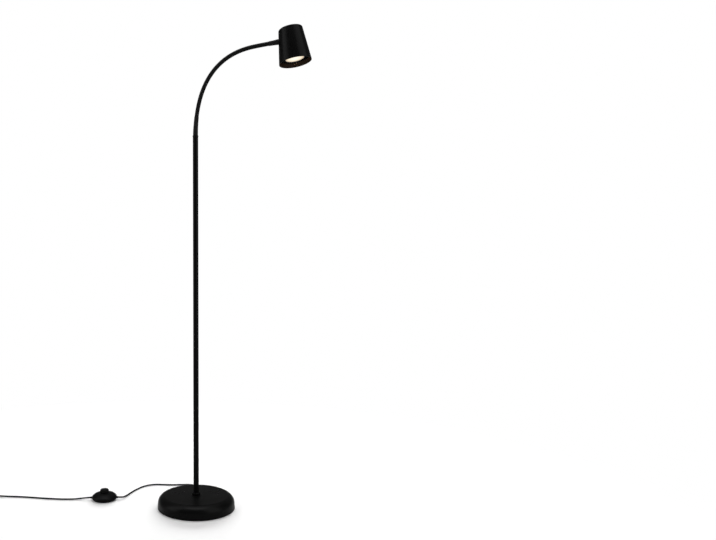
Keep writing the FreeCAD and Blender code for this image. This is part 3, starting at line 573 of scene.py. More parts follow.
def routeToCoil():
    start, way = switchEnd(-1)
    top = coilSizes["centre"][1] + coilSizes["startRadius"]
    floor = coilSizes["floor"]
    away = [(-0.337, 0.0295), (-0.364, 0.0275), (-0.394, 0.028), (-0.424, 0.031), (-0.454, 0.035)]
    points = [
        start,
        start + way * 0.012 + Vector((0, 0, -0.0006)),
        start + way * 0.027 + Vector((0, 0.0008, -0.0026)),
        *lying(*away, (-0.484, 0.037)),
        Vector((-0.514, 0.0365, cordSizes["floor"] + 0.0003)),
        Vector((-0.541, top, floor)),
        Vector((coilSizes["centre"][0] + 0.006, top, floor)),
    ]
    turns = coilSizes["turnsIn"] + 0.5 + coilSizes["turnsOut"]
    steps = round(turns * coilSizes["pointsPerTurn"])
    points += [coilPoint(turns * (k + 0.5) / steps) for k in range(steps)]
    end = coilEnd()
    return points + [end, end + Vector((0, -coilSizes["tail"], 0))]


def cordCurve(name, points):
    data = bpy.data.curves.new(name, "CURVE")
    data.dimensions = "3D"
    data.bevel_depth = cordSizes["radius"]
    data.bevel_resolution = 3
    data.use_fill_caps = True
    spline = data.splines.new("NURBS")
    spline.points.add(len(points) - 1)
    for point, place in zip(spline.points, points):
        point.co = (*place, 1)
    spline.order_u = 3
    spline.use_endpoint_u = True
    spline.resolution_u = 8
    return linked(name, data)


cordToSwitch = dress(
    cordCurve("cordToSwitch", routeToSwitch()), cordJacket, "stand", "cord_jacket", "cord_to_switch"
)
cordToPlug = dress(
    cordCurve("cordToPlug", routeToCoil()), cordJacket, "stand", "cord_jacket", "cord_to_coil", "cord_coil"
)
print("cords laid")

# strain reliefs, with rings moulded on

ringShape = {"width": 0.9 * mm, "proud": 0.35 * mm, "sunk": 0.5 * mm, "rounding": 0.25 * mm, "sides": 40}


def ringedSleeve(name, outline, place, rings, node):
    # rings: count, first height, step, first radius, shrink per ring
    count, first, step, radius, shrink = rings
    wide, rounding, sides = ringShape["width"], ringShape["rounding"], ringShape["sides"]
    low, high = radius - ringShape["sunk"], radius + ringShape["proud"]
    profile = [(low, 0), (high, 0, rounding), (high, wide, rounding), (low, wide)]
    core = put(turnedMesh(name, outline, sides), place)
    hoop = turnedMesh(name + "Hoop", profile, sides, steps=3)
    values = {
        "Shape": hoop,
        "Count": count,
        "Start": (0, 0, first),
        "Step": (0, 0, step),
        "Shrink": shrink,
        "Material": plugPlastic,
    }
    hoops = put(grown(name + "Rings", rowTree, values), place)
    bpy.data.objects.remove(hoop)
    smoothed(hoops.data, 50)
    return [dress(piece, plugPlastic, "stand", "plug_plastic", node) for piece in (core, hoops)]


bush = {
    "foot": 88 * mm,
    "tip": 112 * mm,
    "height": 5.8 * mm,
    "wall": 101 * mm,
    "radius": 3.6 * mm,
    "tipRadius": 2.5 * mm,
    "rings": (3, 102.2 * mm, 2.8 * mm, 3.4 * mm, 0.1),
}


def makeBaseBush():
    outline = [
        (cordSizes["bore"], bush["foot"]),
        (bush["radius"], bush["foot"]),
        (bush["radius"], bush["wall"], 1.0 * mm),
        (bush["tipRadius"], bush["tip"], 0.2 * mm),
        (cordSizes["bore"], bush["tip"]),
    ]
    place = Matrix.Translation((0, 0, bush["height"])) @ Matrix.Rotation(-math.pi / 2, 4, "X")
    return ringedSleeve("baseBush", outline, place, bush["rings"], "base_bush")


# base

upright = Matrix.Identity(4)
baseCover = {
    "radius": 100 * mm,
    "height": 33 * mm,
    "sideLean": 1.52 * mm,  # how far the side leans in by the top's level
    "shoulder": 19.5 * mm,
    "wall": 1.5 * mm,
    "rimLift": 0.8 * mm,
    "rimEdge": 0.3 * mm,
    "hole": 5.05 * mm,
}


def makeBase():
    outer, top, wall = baseCover["radius"], baseCover["height"], baseCover["wall"]
    lean, lift, edge = baseCover["sideLean"], baseCover["rimLift"], baseCover["rimEdge"]
    outline = [
        (outer, lift, edge),
        (outer - lean, top, baseCover["shoulder"]),
        (baseCover["hole"], top),
        (baseCover["hole"], top - wall),
        (outer - lean - wall, top - wall, baseCover["shoulder"] - wall),
        (outer - wall, lift, edge),
    ]
    turnedPiece("baseCover", outline, 256, upright, blackLacquer, "stand", "black_lacquer", "base_cover", 18)


# pole

pole = {
    "radius": 7.0 * mm,
    "bore": 5.8 * mm,
    "low": 33 * mm,
    "top": 966 * mm,
    "play": 0.05 * mm,  # between the tube and what fits it
    "ringHeight": 3 * mm,
    "ringRadius": 7.6 * mm,
    "ringBore": 4.65 * mm,
    "spigot": 14 * mm,
    "collarRadius": 10.5 * mm,
    "collarHeight": 6.5 * mm,
}


def polePiece(name, outline, sides, material, node):
    turnedPiece(name, outline, sides, upright, material, "stand", "black_lacquer", node)


def makePole():
    seat = pole["top"] - pole["ringHeight"]
    tube = [
        (pole["bore"], pole["low"]),
        (pole["radius"], pole["low"]),
        (pole["radius"], seat, 0.15 * mm),
        (pole["bore"], seat),
    ]
    polePiece("poleTube", tube, 72, shadedPoleLacquer, "pole")
    collarTop = pole["low"] + pole["collarHeight"]
    bore = pole["radius"] + pole["play"]
    collar = [
        (bore, pole["low"]),
        (pole["collarRadius"], pole["low"], 0.2 * mm),
        (pole["collarRadius"], collarTop, 2.0 * mm),
        (bore, collarTop, 0.2 * mm),
    ]
    polePiece("poleCollar", collar, 96, blackLacquer, "pole_collar")
    inside = pole["bore"] - pole["play"]
    ring = [
        (pole["ringBore"], seat - pole["spigot"]),
        (inside, seat - pole["spigot"]),
        (inside, seat),
        (pole["ringRadius"], seat, 0.25 * mm),
        (pole["ringRadius"], pole["top"], 0.7 * mm),
        (pole["ringBore"], pole["top"]),
    ]
    polePiece("poleRing", ring, 96, blackLacquer, "pole_ring")


# gooseneck

neck = {
    "radius": 5.45 * mm,
    "pitch": 2.7 * mm,
    "depth": 0.42 * mm,
    "rowsPerTurn": 10,
    "sides": 32,
    "firstRow": 42 * mm,  # the wound skin starts inside the boot
    "endRun": 34.0 * mm,  # from the last hinge to the shade
    "endGap": 3.5 * mm,  # the skin stops just short of the ferrule's floor
    "bendSpan": 44 * mm,  # length that turns at a bending hinge; a swinging one has the rest
    "lastSpan": 24 * mm,
    "hold": 1.5 * mm,  # each sleeve's ends follow their link rigidly
    "pathPoints": 360,
}
hinges = [joint for joint in frame["joints"] if joint["type"] == "hinge"]


def heading(angle):
    return Vector((math.sin(angle), 0, math.cos(angle)))


def bendSide(angle):
    return Vector((math.cos(angle), 0, -math.sin(angle)))


def neckArcs():  # tangent arcs through the hinges, then a straight run to the shade
    place, angle, travelled = Vector((0, 0, pole["top"])), 0.0, 0.0
    arcs = []
    for hinge in hinges:
        chord = Vector(hinge["pos_m"]) - place
        turn = 2 * (math.atan2(chord.x, chord.z) - angle)
        length = chord.length * (turn / 2) / math.sin(turn / 2)
        arcs.append((travelled, length, place, angle, turn))
        place, angle, travelled = place + chord, angle + turn, travelled + length
    arcs.append((travelled, neck["endRun"], place, angle, 0.0))
    return arcs


neckRuns = neckArcs()
neckLength = neckRuns[-1][0] + neck["endRun"]
hingeLengths = [run[0] for run in neckRuns[1:]]


def neckPlace(length):
    run = max((run for run in neckRuns if run[0] <= max(length, 0.0)), key=lambda run: run[0])
    begin, whole, place, angle, turn = run
    here = angle + turn * (length - begin) / whole
    if turn == 0.0:
        centre = place + heading(angle) * (length - begin)
    else:
        centre = place + (bendSide(angle) - bendSide(here)) * (whole / turn)
    axes = Matrix((bendSide(here), (0, 1, 0), heading(here))).transposed().to_4x4()
    return Matrix.Translation(centre) @ axes


def neckPathObject():
    data = bpy.data.curves.new("neckPath", "CURVE")
    data.dimensions = "3D"
    spline = data.splines.new("POLY")
    count = neck["pathPoints"]
    spline.points.add(count - 1)
    for k, point in enumerate(spline.points):
        point.co = (*neckPlace(neckLength * k / (count - 1)).translation, 1)
    return linked("neckPath", data)


def sleeveBounds():  # lengths between which each hinge's sleeve lies
    marks = [neck["firstRow"]]
    for k in range(len(hinges) - 1):
        bendFirst = k % 2 == 0
        last = k == len(hinges) - 2
        half = (neck["lastSpan"] if last else neck["bendSpan"]) / 2
        marks.append(hingeLengths[k] + half if bendFirst else hingeLengths[k + 1] - half)
    return marks + [neckLength - neck["endGap"]]


def makeNeck():
    path = neckPathObject()
    marks = sleeveBounds()
    for k, hinge in enumerate(hinges):
        begin, end = marks[k], marks[k + 1]
        rows = round((end - begin) / neck["pitch"] * neck["rowsPerTurn"]) + 1
        values = {
            "Path": path,
            "From": begin,
            "To": end,
            "Rows": rows,
            "Sides": neck["sides"],
            "Radius": neck["radius"],
            "Pitch": neck["pitch"],
            "Depth": neck["depth"],
            "Material": neckSkin,
        }
        sleeve = closeEnds(grown("neckSleeve%d" % (k + 1), windingTree, values))
        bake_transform(sleeve)
        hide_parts("neck_link_%d" % (k + 1) if k < len(hinges) - 1 else "neck_end_link")
        if k == 0:
            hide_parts("neck_root")
    bpy.data.objects.remove(path)


boot = {
    "outline": [  # radius, length along the neck, rounding
        (5.5 * mm, 0.0),
        (6.5 * mm, 0.0, 0.5 * mm),
        (6.4 * mm, 12 * mm, 30 * mm),
        (5.95 * mm, 32 * mm, 60 * mm),
        (5.75 * mm, 49 * mm, 0.2 * mm),
        (5.5 * mm, 49 * mm),
    ],
}


def makeBoot():
    sleeve = turnedMesh("neckBoot", boot["outline"], 64, place=neckPlace)
    dress(sleeve, bootRubber, "stand", "boot_rubber", "neck_boot")


# shade; heights are measured up its axis from the mouth

shade = {
    "mouthRadius": 42 * mm,
    "topRadius": 30.8 * mm,
    "length": 87.8 * mm,
    "wall": 1.2 * mm,
    "lip": 0.45 * mm,
    "edge": 3.2 * mm,
    "fixing": 59.5 * mm,
}


def shadeRadius(height):
    slope = (shade["mouthRadius"] - shade["topRadius"]) / shade["length"]
    return shade["mouthRadius"] - slope * height


def headMatrix():
    tip = neckPlace(neckLength)
    ahead = tip.to_3x3() @ Vector((0, 0, 1))
    axis = Vector((-ahead.z, 0, ahead.x))
    mouth = tip.translation + ahead * shadeRadius(shade["fixing"]) - axis * shade["fixing"]
    axes = Matrix((-ahead, (0, -1, 0), axis)).transposed().to_4x4()
    return Matrix.Translation(mouth) @ axes


headPlace = headMatrix()


def headPiece(name, outline, sides, material, slot, node, steps=7):
    turnedPiece(name, outline, sides, headPlace, material, "head", slot, node, steps)


def makeShade():
    wall, length, lip = shade["wall"], shade["length"], shade["lip"]
    outline = [
        (shade["mouthRadius"] - wall, 0, lip),
        (shade["mouthRadius"], 0, lip),
        (shade["topRadius"], length, shade["edge"]),
        (0, length),
        (0, length - wall),
        (shadeRadius(length - wall) - wall, length - wall, shade["edge"] - wall),
    ]
    headPiece("shadeShell", outline, 160, blackLacquer, "black_lacquer", "shade", 10)


ferrule = {
    "length": 25 * mm,
    "sunk": 1.6 * mm,  # past the shade's outer face
    "floor": 3.0 * mm,
    "foot": 3.5 * mm,
    "thick": 6.95 * mm,
    "middle": 6.2 * mm,
    "thin": 5.95 * mm,
    "bore": 5.5 * mm,
}


def makeFerrule():
    wall = shadeRadius(shade["fixing"])
    near, far = wall - ferrule["sunk"], wall + ferrule["length"]
    outline = [
        (0, near),
        (ferrule["thick"], near),
        (ferrule["thick"], wall + ferrule["foot"], 5 * mm),
        (ferrule["middle"], wall + ferrule["length"] / 2, 25 * mm),
        (ferrule["thin"], far, 0.2 * mm),
        (ferrule["bore"], far),
        (ferrule["bore"], wall + ferrule["floor"]),
        (0, wall + ferrule["floor"]),
    ]
    place = headPlace @ Matrix.Translation((0, 0, shade["fixing"])) @ Matrix.Rotation(math.pi / 2, 4, "Y")
    turnedPiece("headFerrule", outline, 64, place, bootRubber, "head", "black_lacquer", "head_ferrule")


# reflector bulb

bulb = {
    "face": 10.0 * mm,  # over the shade's mouth
    "radius": 25.0 * mm,
    "rimHeight": 0.8 * mm,  # this and what follows are measured from the face
    "waist": 34 * mm,
    "length": 49.5 * mm,
    "lensDepth": 2.5 * mm,
    "lensDome": 0.6 * mm,
    "neckRadius": 9.5 * mm,
    "waistRadius": 14.0 * mm,
    "lensRadius": 23.2 * mm,
    "fins": 24,
    "finSteps": 6,
    "finHeights": (10 * mm, 32 * mm),  # from the face
    "finRadii": (23.6 * mm, 14.9 * mm),  # of the shell at those heights
    "finRoot": 1.5 * mm,
    "finDeep": 1.6 * mm,
    "finWide": 1.3 * mm,
    "finTip": 0.7,  # width of a fin's tip as a share of its root's
    "lampPower": 0.2,
    "lampColour": (1.0, 0.5, 0.26),
    "lampSize": 2 * mm,
    "lampAhead": 3 * mm,
}


def makeBulb():
    face, outer, lens = bulb["face"], bulb["radius"], bulb["lensRadius"]
    seat, rimTop, front = face + bulb["lensDepth"], face + bulb["rimHeight"], face - bulb["lensDome"]
    waist, back = face + bulb["waist"], face + bulb["length"]
    body = [
        (0, seat),
        (lens + 0.1 * mm, seat),
        (lens + 0.1 * mm, rimTop),
        (outer - 0.5 * mm, rimTop, 0.3 * mm),
        (outer, face + 3.5 * mm, 2 * mm),
        (outer - 1.2 * mm, face + 9 * mm, 8 * mm),
        (bulb["waistRadius"], waist, 8 * mm),
        (bulb["neckRadius"], waist + 5 * mm, 1.5 * mm),
        (bulb["neckRadius"], back, 1.0 * mm),
        (0, back),
    ]
    headPiece("bulbShell", body, 96, bulbShell, "bulb_shell", "bulb_body")
    rim = [
        (lens + 0.05 * mm, rimTop),
        (lens + 0.05 * mm, face - 0.1 * mm, 0.2 * mm),
        (outer - 1.0 * mm, face - 0.3 * mm, 0.3 * mm),
        (outer - 0.55 * mm, rimTop),
    ]
    headPiece("bulbRim", rim, 128, bulbRing, "bulb_ring", "bulb_rim")
    glass = [
        (0, front),
        (lens * 0.6, front + 0.05 * mm, 40 * mm),
        (lens, face + 0.3 * mm, 0.2 * mm),
        (lens, seat),
        (0, seat),
    ]
    glow = makeLensGlow((headPlace @ Matrix.Translation((0, 0, front))).translation)
    headPiece("bulbLens", glass, 128, glow, "bulb_glow", "bulb_lens")
    makeBulbLamp()
    dress(makeBulbFins(), bulbShell, "head", "bulb_shell", "bulb_body")


def makeBulbLamp():  # what the lens sheds on the inside of the shade
    data = bpy.data.lights.new("bulbLamp", "POINT")
    data.shadow_soft_size = bulb["lampSize"]
    data.energy = bulb["lampPower"]
    data.color = bulb["lampColour"]
    lamp = linked("bulbLamp", data)
    lamp.matrix_world = headPlace @ Matrix.Translation((0, 0, bulb["face"] - bulb["lampAhead"]))
    lamp.visible_camera = False
    lamp.visible_glossy = False
    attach(lamp, "head")


def makeBulbFins():
    low, high = [bulb["face"] + height for height in bulb["finHeights"]]
    lowRadius, highRadius = bulb["finRadii"]
    half = bulb["finWide"] / 2
    halfTip = half * bulb["finTip"]
    shape = bmesh.new()
    rows = []
    for k in range(bulb["finSteps"] + 1):
        share = k / bulb["finSteps"]
        shell = lowRadius + (highRadius - lowRadius) * share
        root = shell - bulb["finRoot"]
        tip = shell + bulb["finDeep"] * math.sin(math.pi * (0.08 + 0.84 * share))  # lower at both ends
        height = low + (high - low) * share
        places = [(root, -half), (tip, -halfTip), (tip, halfTip), (root, half)]
        rows.append([shape.verts.new((x, y, height)) for x, y in places])
    skin(shape, rows, closed=False)
    fin = meshPiece("bulbFin", shape)
    values = {"Shape": fin, "Count": bulb["fins"], "First Turn": 0.0, "Material": bulbShell}
    fins = put(grown("bulbFins", circleTree, values), headPlace)
    bpy.data.objects.remove(fin)
    return fins


# foot switch, made upright with its cord along X

switch = {
    "radius": 33.4 * mm,
    "footRadius": 29 * mm,
    "seam": 5.5 * mm,
    "seamHalf": 0.15 * mm,  # half the gap between the cases
    "height": 18.6 * mm,
    "wall": 2.0 * mm,
    "crown": 15.5 * mm,
    "well": 12.3 * mm,
    "buttonRadius": 12.0 * mm,
    "buttonTop": 28.7 * mm,
    "skirtRadius": 13.4 * mm,
    "skirtLow": 14.8 * mm,
    "skirtTop": 16.4 * mm,
    "reliefInside": 17.4 * mm,
    "reliefRadius": 2.9 * mm,
    "reliefTip": 2.45 * mm,
    "screws": 3,
    "screwRing": 24.05 * mm,
    "screwHead": 2.8 * mm,
    "screwSunk": 0.4 * mm,
    "screwShank": 1.5 * mm,
    "screwUnder": 1.3 * mm,
    "screwLength": 6.8 * mm,
    "screwCross": (0.7 * mm, 3.4 * mm, 1.6 * mm),  # width, span, depth
}
switchTurn = Matrix.Rotation(cordSizes["switchTurn"], 4, "Z")
switchMatrix = Matrix.Translation((*cordSizes["switchPlace"], 0)) @ switchTurn


def switchPiece(name, outline, sides, place, body, node):
    return turnedPiece(name, outline, sides, place, switchPlastic, body, "switch_plastic", node)


def makeSwitchCases():
    outer, wall, foot = switch["radius"], switch["wall"], switch["footRadius"]
    seam, top, crown = switch["seam"], switch["height"], switch["crown"]
    under, over = seam - switch["seamHalf"], seam + switch["seamHalf"]
    lower = [
        (0, 0),
        (foot, 0, 1.5 * mm),
        (outer, seam * 0.75, 3.0 * mm),
        (outer, under, 0.3 * mm),
        (outer - wall, under),
        (foot - wall, wall),
        (0, wall),
    ]
    upper = [
        (outer - wall, over),
        (outer, over, 0.3 * mm),
        (outer - 0.7 * mm, seam + 4.2 * mm, 6 * mm),
        (0.5 * (outer + crown) + 3.2 * mm, top - 2.6 * mm, 24 * mm),
        (crown, top + 0.2 * mm, 2.0 * mm),
        (switch["well"], top, 0.5 * mm),
        (switch["well"], top - wall),
        (crown, top - wall),
        (outer - wall - 4 * mm, seam + 4.6 * mm, 6 * mm),
    ]
    return [
        switchPiece("switchLowerCase", lower, 128, switchMatrix, "stand", "switch_lower_case"),
        switchPiece("switchUpperCase", upper, 128, switchMatrix, "stand", "switch_upper_case"),
    ]


def makeSwitchButton():
    radius, top, skirt = switch["buttonRadius"], switch["buttonTop"], switch["skirtRadius"]
    outline = [
        (0, switch["skirtLow"]),
        (skirt, switch["skirtLow"], 0.2 * mm),
        (skirt, switch["skirtTop"], 0.2 * mm),
        (radius, switch["skirtTop"]),
        (radius - 0.15 * mm, top - 1.2 * mm, 4.0 * mm),
        (radius - 5 * mm, top - 0.2 * mm, 20 * mm),
        (0, top),
    ]
    return switchPiece("switchButton", outline, 96, switchMatrix, "switch_push", "switch_button")


def makeSwitchReliefs():
    bore, inside, tip = cordSizes["bore"], switch["reliefInside"], cordSizes["switchReach"]
    outline = [
        (bore, inside),
        (switch["reliefRadius"], inside),
        (switch["reliefRadius"], switch["radius"] - 0.5 * mm, 2 * mm),
        (switch["reliefTip"], tip, 0.2 * mm),
        (bore, tip),
    ]
    sideways = Matrix.Translation((0, 0, switch["seam"])) @ Matrix.Rotation(math.pi / 2, 4, "Y")
    pieces = []
    for name, turn in (("switchReliefRight", 0.0), ("switchReliefLeft", math.pi)):
        place = switchMatrix @ Matrix.Rotation(turn, 4, "Z") @ sideways
        pieces.append(switchPiece(name, outline, 40, place, "stand", "switch_reliefs"))
    return pieces


def makeSwitchScrews():
    radius, sunk, shank = switch["screwHead"], switch["screwSunk"], switch["screwShank"]
    head = [
        (0, sunk),
        (radius, sunk, 0.15 * mm),
        (shank, sunk + switch["screwUnder"]),
        (shank, sunk + switch["screwLength"]),
        (0, sunk + switch["screwLength"]),
    ]
    screw = turnedMesh("screw", head, 32, steps=3)
    wide, span, deep = switch["screwCross"]
    cross = bmesh.new()
    for size in ((wide, span, deep, 1), (span, wide, deep, 1)):
        matrix = Matrix.Translation((0, 0, sunk)) @ Matrix.Diagonal(size)
        bmesh.ops.create_cube(cross, size=1.0, matrix=matrix)
    cutter = meshPiece("screwCross", cross)
    cut = screw.modifiers.new("cross", "BOOLEAN")
    cut.operation = "DIFFERENCE"
    cut.object = cutter
    cut.use_self = True
    cut.solver = "EXACT"
    shape = put(applied(screw, "screwShape"), Matrix.Translation((switch["screwRing"], 0, 0)))
    bpy.data.objects.remove(cutter)
    values = {"Shape": shape, "Count": switch["screws"], "First Turn": math.pi / 2, "Material": zincSteel}
    screws = put(grown("switchScrews", circleTree, values), switchMatrix)
    bpy.data.objects.remove(shape)
    return dress(screws, zincSteel, "stand", "zinc_steel", "switch_screws")


# plug and coil tie

plug = {
    "relief": 22 * mm,
    "length": 36 * mm,
    "middle": 6.85 * mm,  # height of the body's middle over the floor
    "sections": [  # distance from the cord's end, half width, half thickness, squareness
        (20.5 * mm, 3.6 * mm, 3.4 * mm, 0.0),
        (21.2 * mm, 5.6 * mm, 4.6 * mm, 0.2),
        (23 * mm, 6.6 * mm, 5.4 * mm, 0.4),
        (29 * mm, 8.6 * mm, 5.8 * mm, 0.6),
        (37 * mm, 12.6 * mm, 6.0 * mm, 0.75),
        (44 * mm, 16.6 * mm, 6.5 * mm, 0.8),
        (48 * mm, 17.5 * mm, 6.8 * mm, 0.85),
        (55.5 * mm, 17.5 * mm, 6.8 * mm, 0.85),
        (57.2 * mm, 17.1 * mm, 6.4 * mm, 0.85),
        (58 * mm, 15.9 * mm, 5.3 * mm, 0.85),
    ],
    "around": 48,
    "cordEnd": 3 * mm,  # how far the cord reaches into the relief
    "rings": (6, 2.6 * mm, 2.9 * mm, 2.75 * mm, -0.05),
    "pinRadius": 2.0 * mm,
    "pinLength": 19 * mm,
    "pinRoot": 0.5 * mm,  # inside the body
    "pinSpacing": 19 * mm,
    "pinSleeve": 10 * mm,
    "sleeveThickness": 0.12 * mm,
    "ridges": 6,
    "ridgeFirst": 36 * mm,  # from the cord's end
    "ridgeStep": 2.6 * mm,
    "ridgeSize": (13 * mm, 1.1 * mm, 13.2 * mm),
    "ridgeSoft": 0.45 * mm,
}


def plugRing(half, thick, square):
    # a rounded rectangle: an ellipse pushed out towards its corners
    power = 1.0 - 0.62 * square
    points = []
    for k in range(plug["around"]):
        turn = 2 * math.pi * (k + 0.5) / plug["around"]
        across, over = math.cos(turn), math.sin(turn)
        x = half * math.copysign(abs(across) ** power, across)
        points.append((x, thick * math.copysign(abs(over) ** power, over)))
    return points


def makePlug():
    end = coilEnd() + Vector((0, -coilSizes["tail"], 0))
    shape = bmesh.new()
    loops = []
    for away, half, thick, square in plug["sections"]:
        ring = plugRing(half, thick, square)
        loops.append([shape.verts.new((end.x + x, end.y - away, plug["middle"] + z)) for x, z in ring])
    skin(shape, loops, closed=False)
    body = dress(meshPiece("plugBody", shape, 60), plugPlastic, "stand", "plug_plastic", "plug_body")
    bore, relief = cordSizes["bore"], plug["relief"]
    outline = [
        (bore, 0),
        (2.5 * mm, 0, 0.2 * mm),
        (3.5 * mm, relief),
        (0, relief),
        (0, plug["cordEnd"]),
        (bore, plug["cordEnd"]),
    ]
    forward = Matrix.Rotation(math.pi / 2, 4, "X")
    place = Matrix.Translation(end) @ forward
    pieces = [body, *ringedSleeve("plugRelief", outline, place, plug["rings"], "plug_body")]
    front = end + Vector((0, plug["pinRoot"] - relief - plug["length"], plug["middle"] - end.z))
    radius, bare = plug["pinRadius"], plug["pinRadius"] - plug["sleeveThickness"]
    length, sleeve = plug["pinLength"] + plug["pinRoot"], plug["pinSleeve"]
    pin = [(0, 0), (bare, 0), (bare, length, 1.3 * mm), (0, length)]
    coat = [(0, 0), (radius, 0), (radius, sleeve, 0.15 * mm), (0, sleeve)]
    for name, side in (("plugPinLeft", -1), ("plugPinRight", 1)):
        place = Matrix.Translation(front + Vector((side * plug["pinSpacing"] / 2, 0, 0))) @ forward
        metal = turnedPiece(name, pin, 32, place, pinMetal, "stand", "brass_pin", "plug_pins")
        over = turnedPiece(name + "Coat", coat, 32, place, plugPlastic, "stand", "plug_plastic", "plug_pins")
        pieces += [metal, over]
    return [*pieces, makePlugRidges(end)]


def makePlugRidges(end):
    bar = bmesh.new()
    bmesh.ops.create_cube(bar, size=1.0, matrix=Matrix.Diagonal((*plug["ridgeSize"], 1)))
    ridge = meshPiece("plugRidge", bar)
    soft = ridge.modifiers.new("soft", "BEVEL")
    soft.width = plug["ridgeSoft"]
    soft.segments = 3
    shape = applied(ridge, "plugRidgeShape")
    values = {
        "Shape": shape,
        "Count": plug["ridges"],
        "Start": (end.x, end.y - plug["ridgeFirst"], plug["middle"]),
        "Step": (0, -plug["ridgeStep"], 0),
        "Material": plugPlastic,
    }
    ridges = grown("plugRidges", rowTree, values)
    bpy.data.objects.remove(shape)
    return dress(ridges, plugPlastic, "stand", "plug_plastic", "plug_body")


tie = {
    "width": 5.0 * mm,
    "thickness": 0.8 * mm,
    "inner": 13.5 * mm,
    "outer": 34.3 * mm,
    "high": 10.0 * mm,
    "rounding": 1.6 * mm,
}


def tieCorners(grow):
    near, far = tie["inner"] - grow, tie["outer"] + grow
    low, high = tie["thickness"] - grow, tie["high"] + grow
    return [(x, y, tie["rounding"] + grow) for x, y in ((near, low), (far, low), (far, high), (near, high))]


def makeTie():
    # a flat band round all the turns, on the coil's near side
    wide = tie["width"] / 2
    inside, outside = tieCorners(0), tieCorners(tie["thickness"])
    shape = bmesh.new()
    loops = []
    for corners, side in ((inside, -wide), (inside, wide), (outside, wide), (outside, -wide)):
        loops.append([shape.verts.new((side, -point.x, point.y)) for point in roundedOutline(corners, 6)])
    skin(shape, loops)
    band = put(meshPiece("coilTie", shape), Matrix.Translation((*coilSizes["centre"], 0)))
    return dress(band, plugPlastic, "stand", "plug_plastic", "coil_tie")


# assembly

makeBase()
makePole()
makeNeck()
makeBoot()
print("base, pole and neck made")
makeShade()
makeFerrule()
makeBulb()
print("head made")
bushPieces = makeBaseBush()
switchCases = makeSwitchCases()
button = makeSwitchButton()
reliefs = makeSwitchReliefs()
screws = makeSwitchScrews()
print("foot switch made")
plugPieces = makePlug()
coilTie = makeTie()
print("plug and tie made")

nodeFinishes = {
    "base_weight": castIron,
    "base_pad": padFelt,
    "stem_washer": zincSteel,
    "stem_nut": zincSteel,
    "pole_stem": zincSteel,
    "pole_insert": zincSteel,
    "inner_cable": cordJacket,
    "head_nipple": zincSteel,
    "head_nut": zincSteel,
    "lampholder_bracket": zincSteel,
    "lampholder": glazedCeramic,
    "lampholder_screws": zincSteel,
    "lamp_leads": leadSleeve,
    "bulb_pins": pinMetal,
    "switch_spring": zincSteel,
    "switch_contact_block": switchPlastic,
}
for nodeName, material in nodeFinishes.items():
    for slot in frame["nodes"][nodeName].material_slots:
        slot.material = material

# studio: pale floor, soft light

studio = {
    "floorSize": 40.0,
    "floorTone": 0.94,
    "floorRoughness": 0.9,
    "floorLift": 0.03,  # light the floor gives off, only towards the camera and what mirrors it
    "floorFade": (0.6, 1.5),  # distances between which the floor turns into plain white
    "middle": (-0.15, 0.0, 0.0),
    "worldLight": 0.2,
    "floorMirrored": 0.5,  # share of the floor's light that glossy finishes see
    "horizonLight": 0.1,  # what glossy finishes see low down, up to the clear sky's 1
    "skyRise": (0.7, 0.98),  # heights in the sky between which it clears
    "boxes": [  # name, place, aim, width, height, radiance, lights matt and glossy finishes
        ("backGlow", (-0.1, 5.6, 2.3), (-0.1, 0, 0.1), 6.6, 2.3, 10.0, True, False),
        ("overhead", (0.2, 0.9, 3.0), (0, 0, 0.3), 2.0, 2.0, 3.0, True, False),
        ("shoulderGleam", (0.0, -0.35, 2.4), (0, 0, 0.0), 1.6, 0.9, 3.0, False, True),
        ("leftBox", (-2.0, -1.2, 1.2), (0, 0, 0.7), 1.8, 2.2, 1.5, True, False),
        ("rightBox", (2.3, -0.8, 1.2), (0.1, 0, 0.7), 1.8, 2.2, 1.5, True, False),
        ("leftGleam", (-2.1, -0.6, 1.75), (0, 0, 1.2), 1.5, 3.1, 1.7, False, True),
        ("rightGleam", (1.95, -1.1, 1.75), (0.1, 0, 1.2), 2.0, 3.1, 1.3, False, True),
    ],
}


def seenByEye(tree):  # 1 for what the camera sees in any way, and 1 for what it sees mirrored
    rays = add(tree, "ShaderNodeLightPath").outputs
    seen = calc(tree, "MAXIMUM", rays["Is Camera Ray"], rays["Is Glossy Ray"])
    return calc(tree, "MAXIMUM", seen, rays["Is Transmission Ray"]), rays["Is Glossy Ray"]


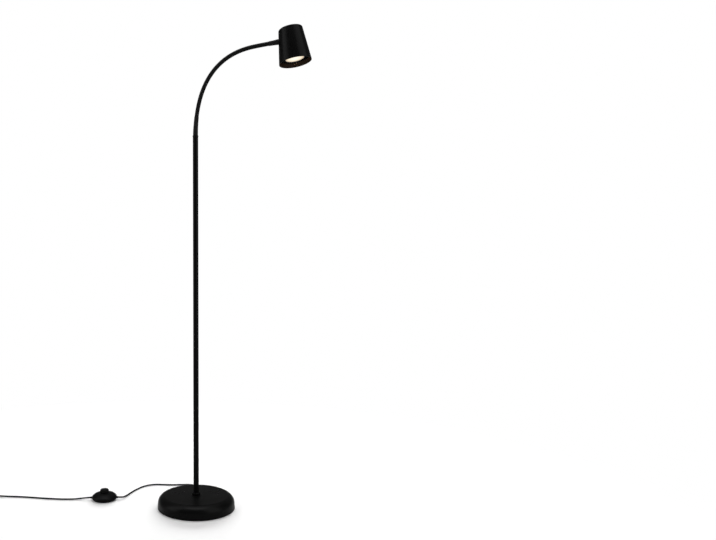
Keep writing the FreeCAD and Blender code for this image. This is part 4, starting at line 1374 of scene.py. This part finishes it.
def makeFloor():
    shape = bmesh.new()
    bmesh.ops.create_grid(shape, x_segments=1, y_segments=1, size=studio["floorSize"] / 2)
    floor = meshPiece("floor", shape)
    material, tree, shader = newMaterial("pale floor")
    seen, mirrored = seenByEye(tree)
    away = distance(tree, add(tree, "ShaderNodeTexCoord").outputs["Object"], studio["middle"])
    fade = ranged(tree, away, 0.0, 1.0, *studio["floorFade"], interpolation_type="SMOOTHSTEP")
    faded = calc(tree, "MULTIPLY", fade, seen)
    tone = calc(tree, "MULTIPLY", calc(tree, "SUBTRACT", 1.0, faded), studio["floorTone"])
    dulled = calc(tree, "MULTIPLY", mirrored, 1 - studio["floorMirrored"])
    shown = calc(tree, "SUBTRACT", 1.0, dulled)
    glow = calc(tree, "MULTIPLY", ranged(tree, fade, studio["floorLift"], 1.0), seen)
    sockets = {
        "Base Color": calc(tree, "MULTIPLY", tone, shown),
        "Roughness": studio["floorRoughness"],
        "Specular IOR Level": 0.0,
        "Emission Color": (1, 1, 1, 1),
        "Emission Strength": calc(tree, "MULTIPLY", glow, shown),
    }
    feed(tree, shader, sockets)
    floor.data.materials.append(material)


def makeWorld():
    world = bpy.data.worlds.new("studio")
    world.use_nodes = True
    bpy.context.scene.world = world
    tree = world.node_tree
    seen, mirrored = seenByEye(tree)
    ways = add(tree, "ShaderNodeTexCoord").outputs["Generated"]
    height = add(tree, "ShaderNodeSeparateXYZ", {0: ways}).outputs["Z"]
    rise = {"interpolation_type": "SMOOTHSTEP"}
    sky = ranged(tree, height, studio["horizonLight"], 1.0, *studio["skyRise"], **rise)
    plain = calc(tree, "MAXIMUM", calc(tree, "SUBTRACT", seen, mirrored), 0.0)
    white = calc(tree, "ADD", plain, calc(tree, "MULTIPLY", sky, mirrored))
    dim = calc(tree, "MULTIPLY", calc(tree, "SUBTRACT", 1.0, seen), studio["worldLight"])
    light = {"Color": (1, 1, 1, 1), "Strength": calc(tree, "ADD", white, dim)}
    feed(tree, tree.nodes["Background"], light)


def makeLights():
    for name, place, aim, width, height, radiance, matt, glossy in studio["boxes"]:
        data = bpy.data.lights.new(name, "AREA")
        data.shape = "RECTANGLE"
        data.size = width
        data.size_y = height
        data.energy = radiance * math.pi * width * height
        lamp = linked(name, data)
        lamp.location = place
        lamp.rotation_euler = (Vector(aim) - Vector(place)).to_track_quat("-Z", "Y").to_euler()
        lamp.visible_camera = False
        lamp.visible_diffuse = matt
        lamp.visible_glossy = glossy


makeFloor()
makeWorld()
makeLights()
bpy.context.scene.view_settings.view_transform = "Standard"
print("studio lit")
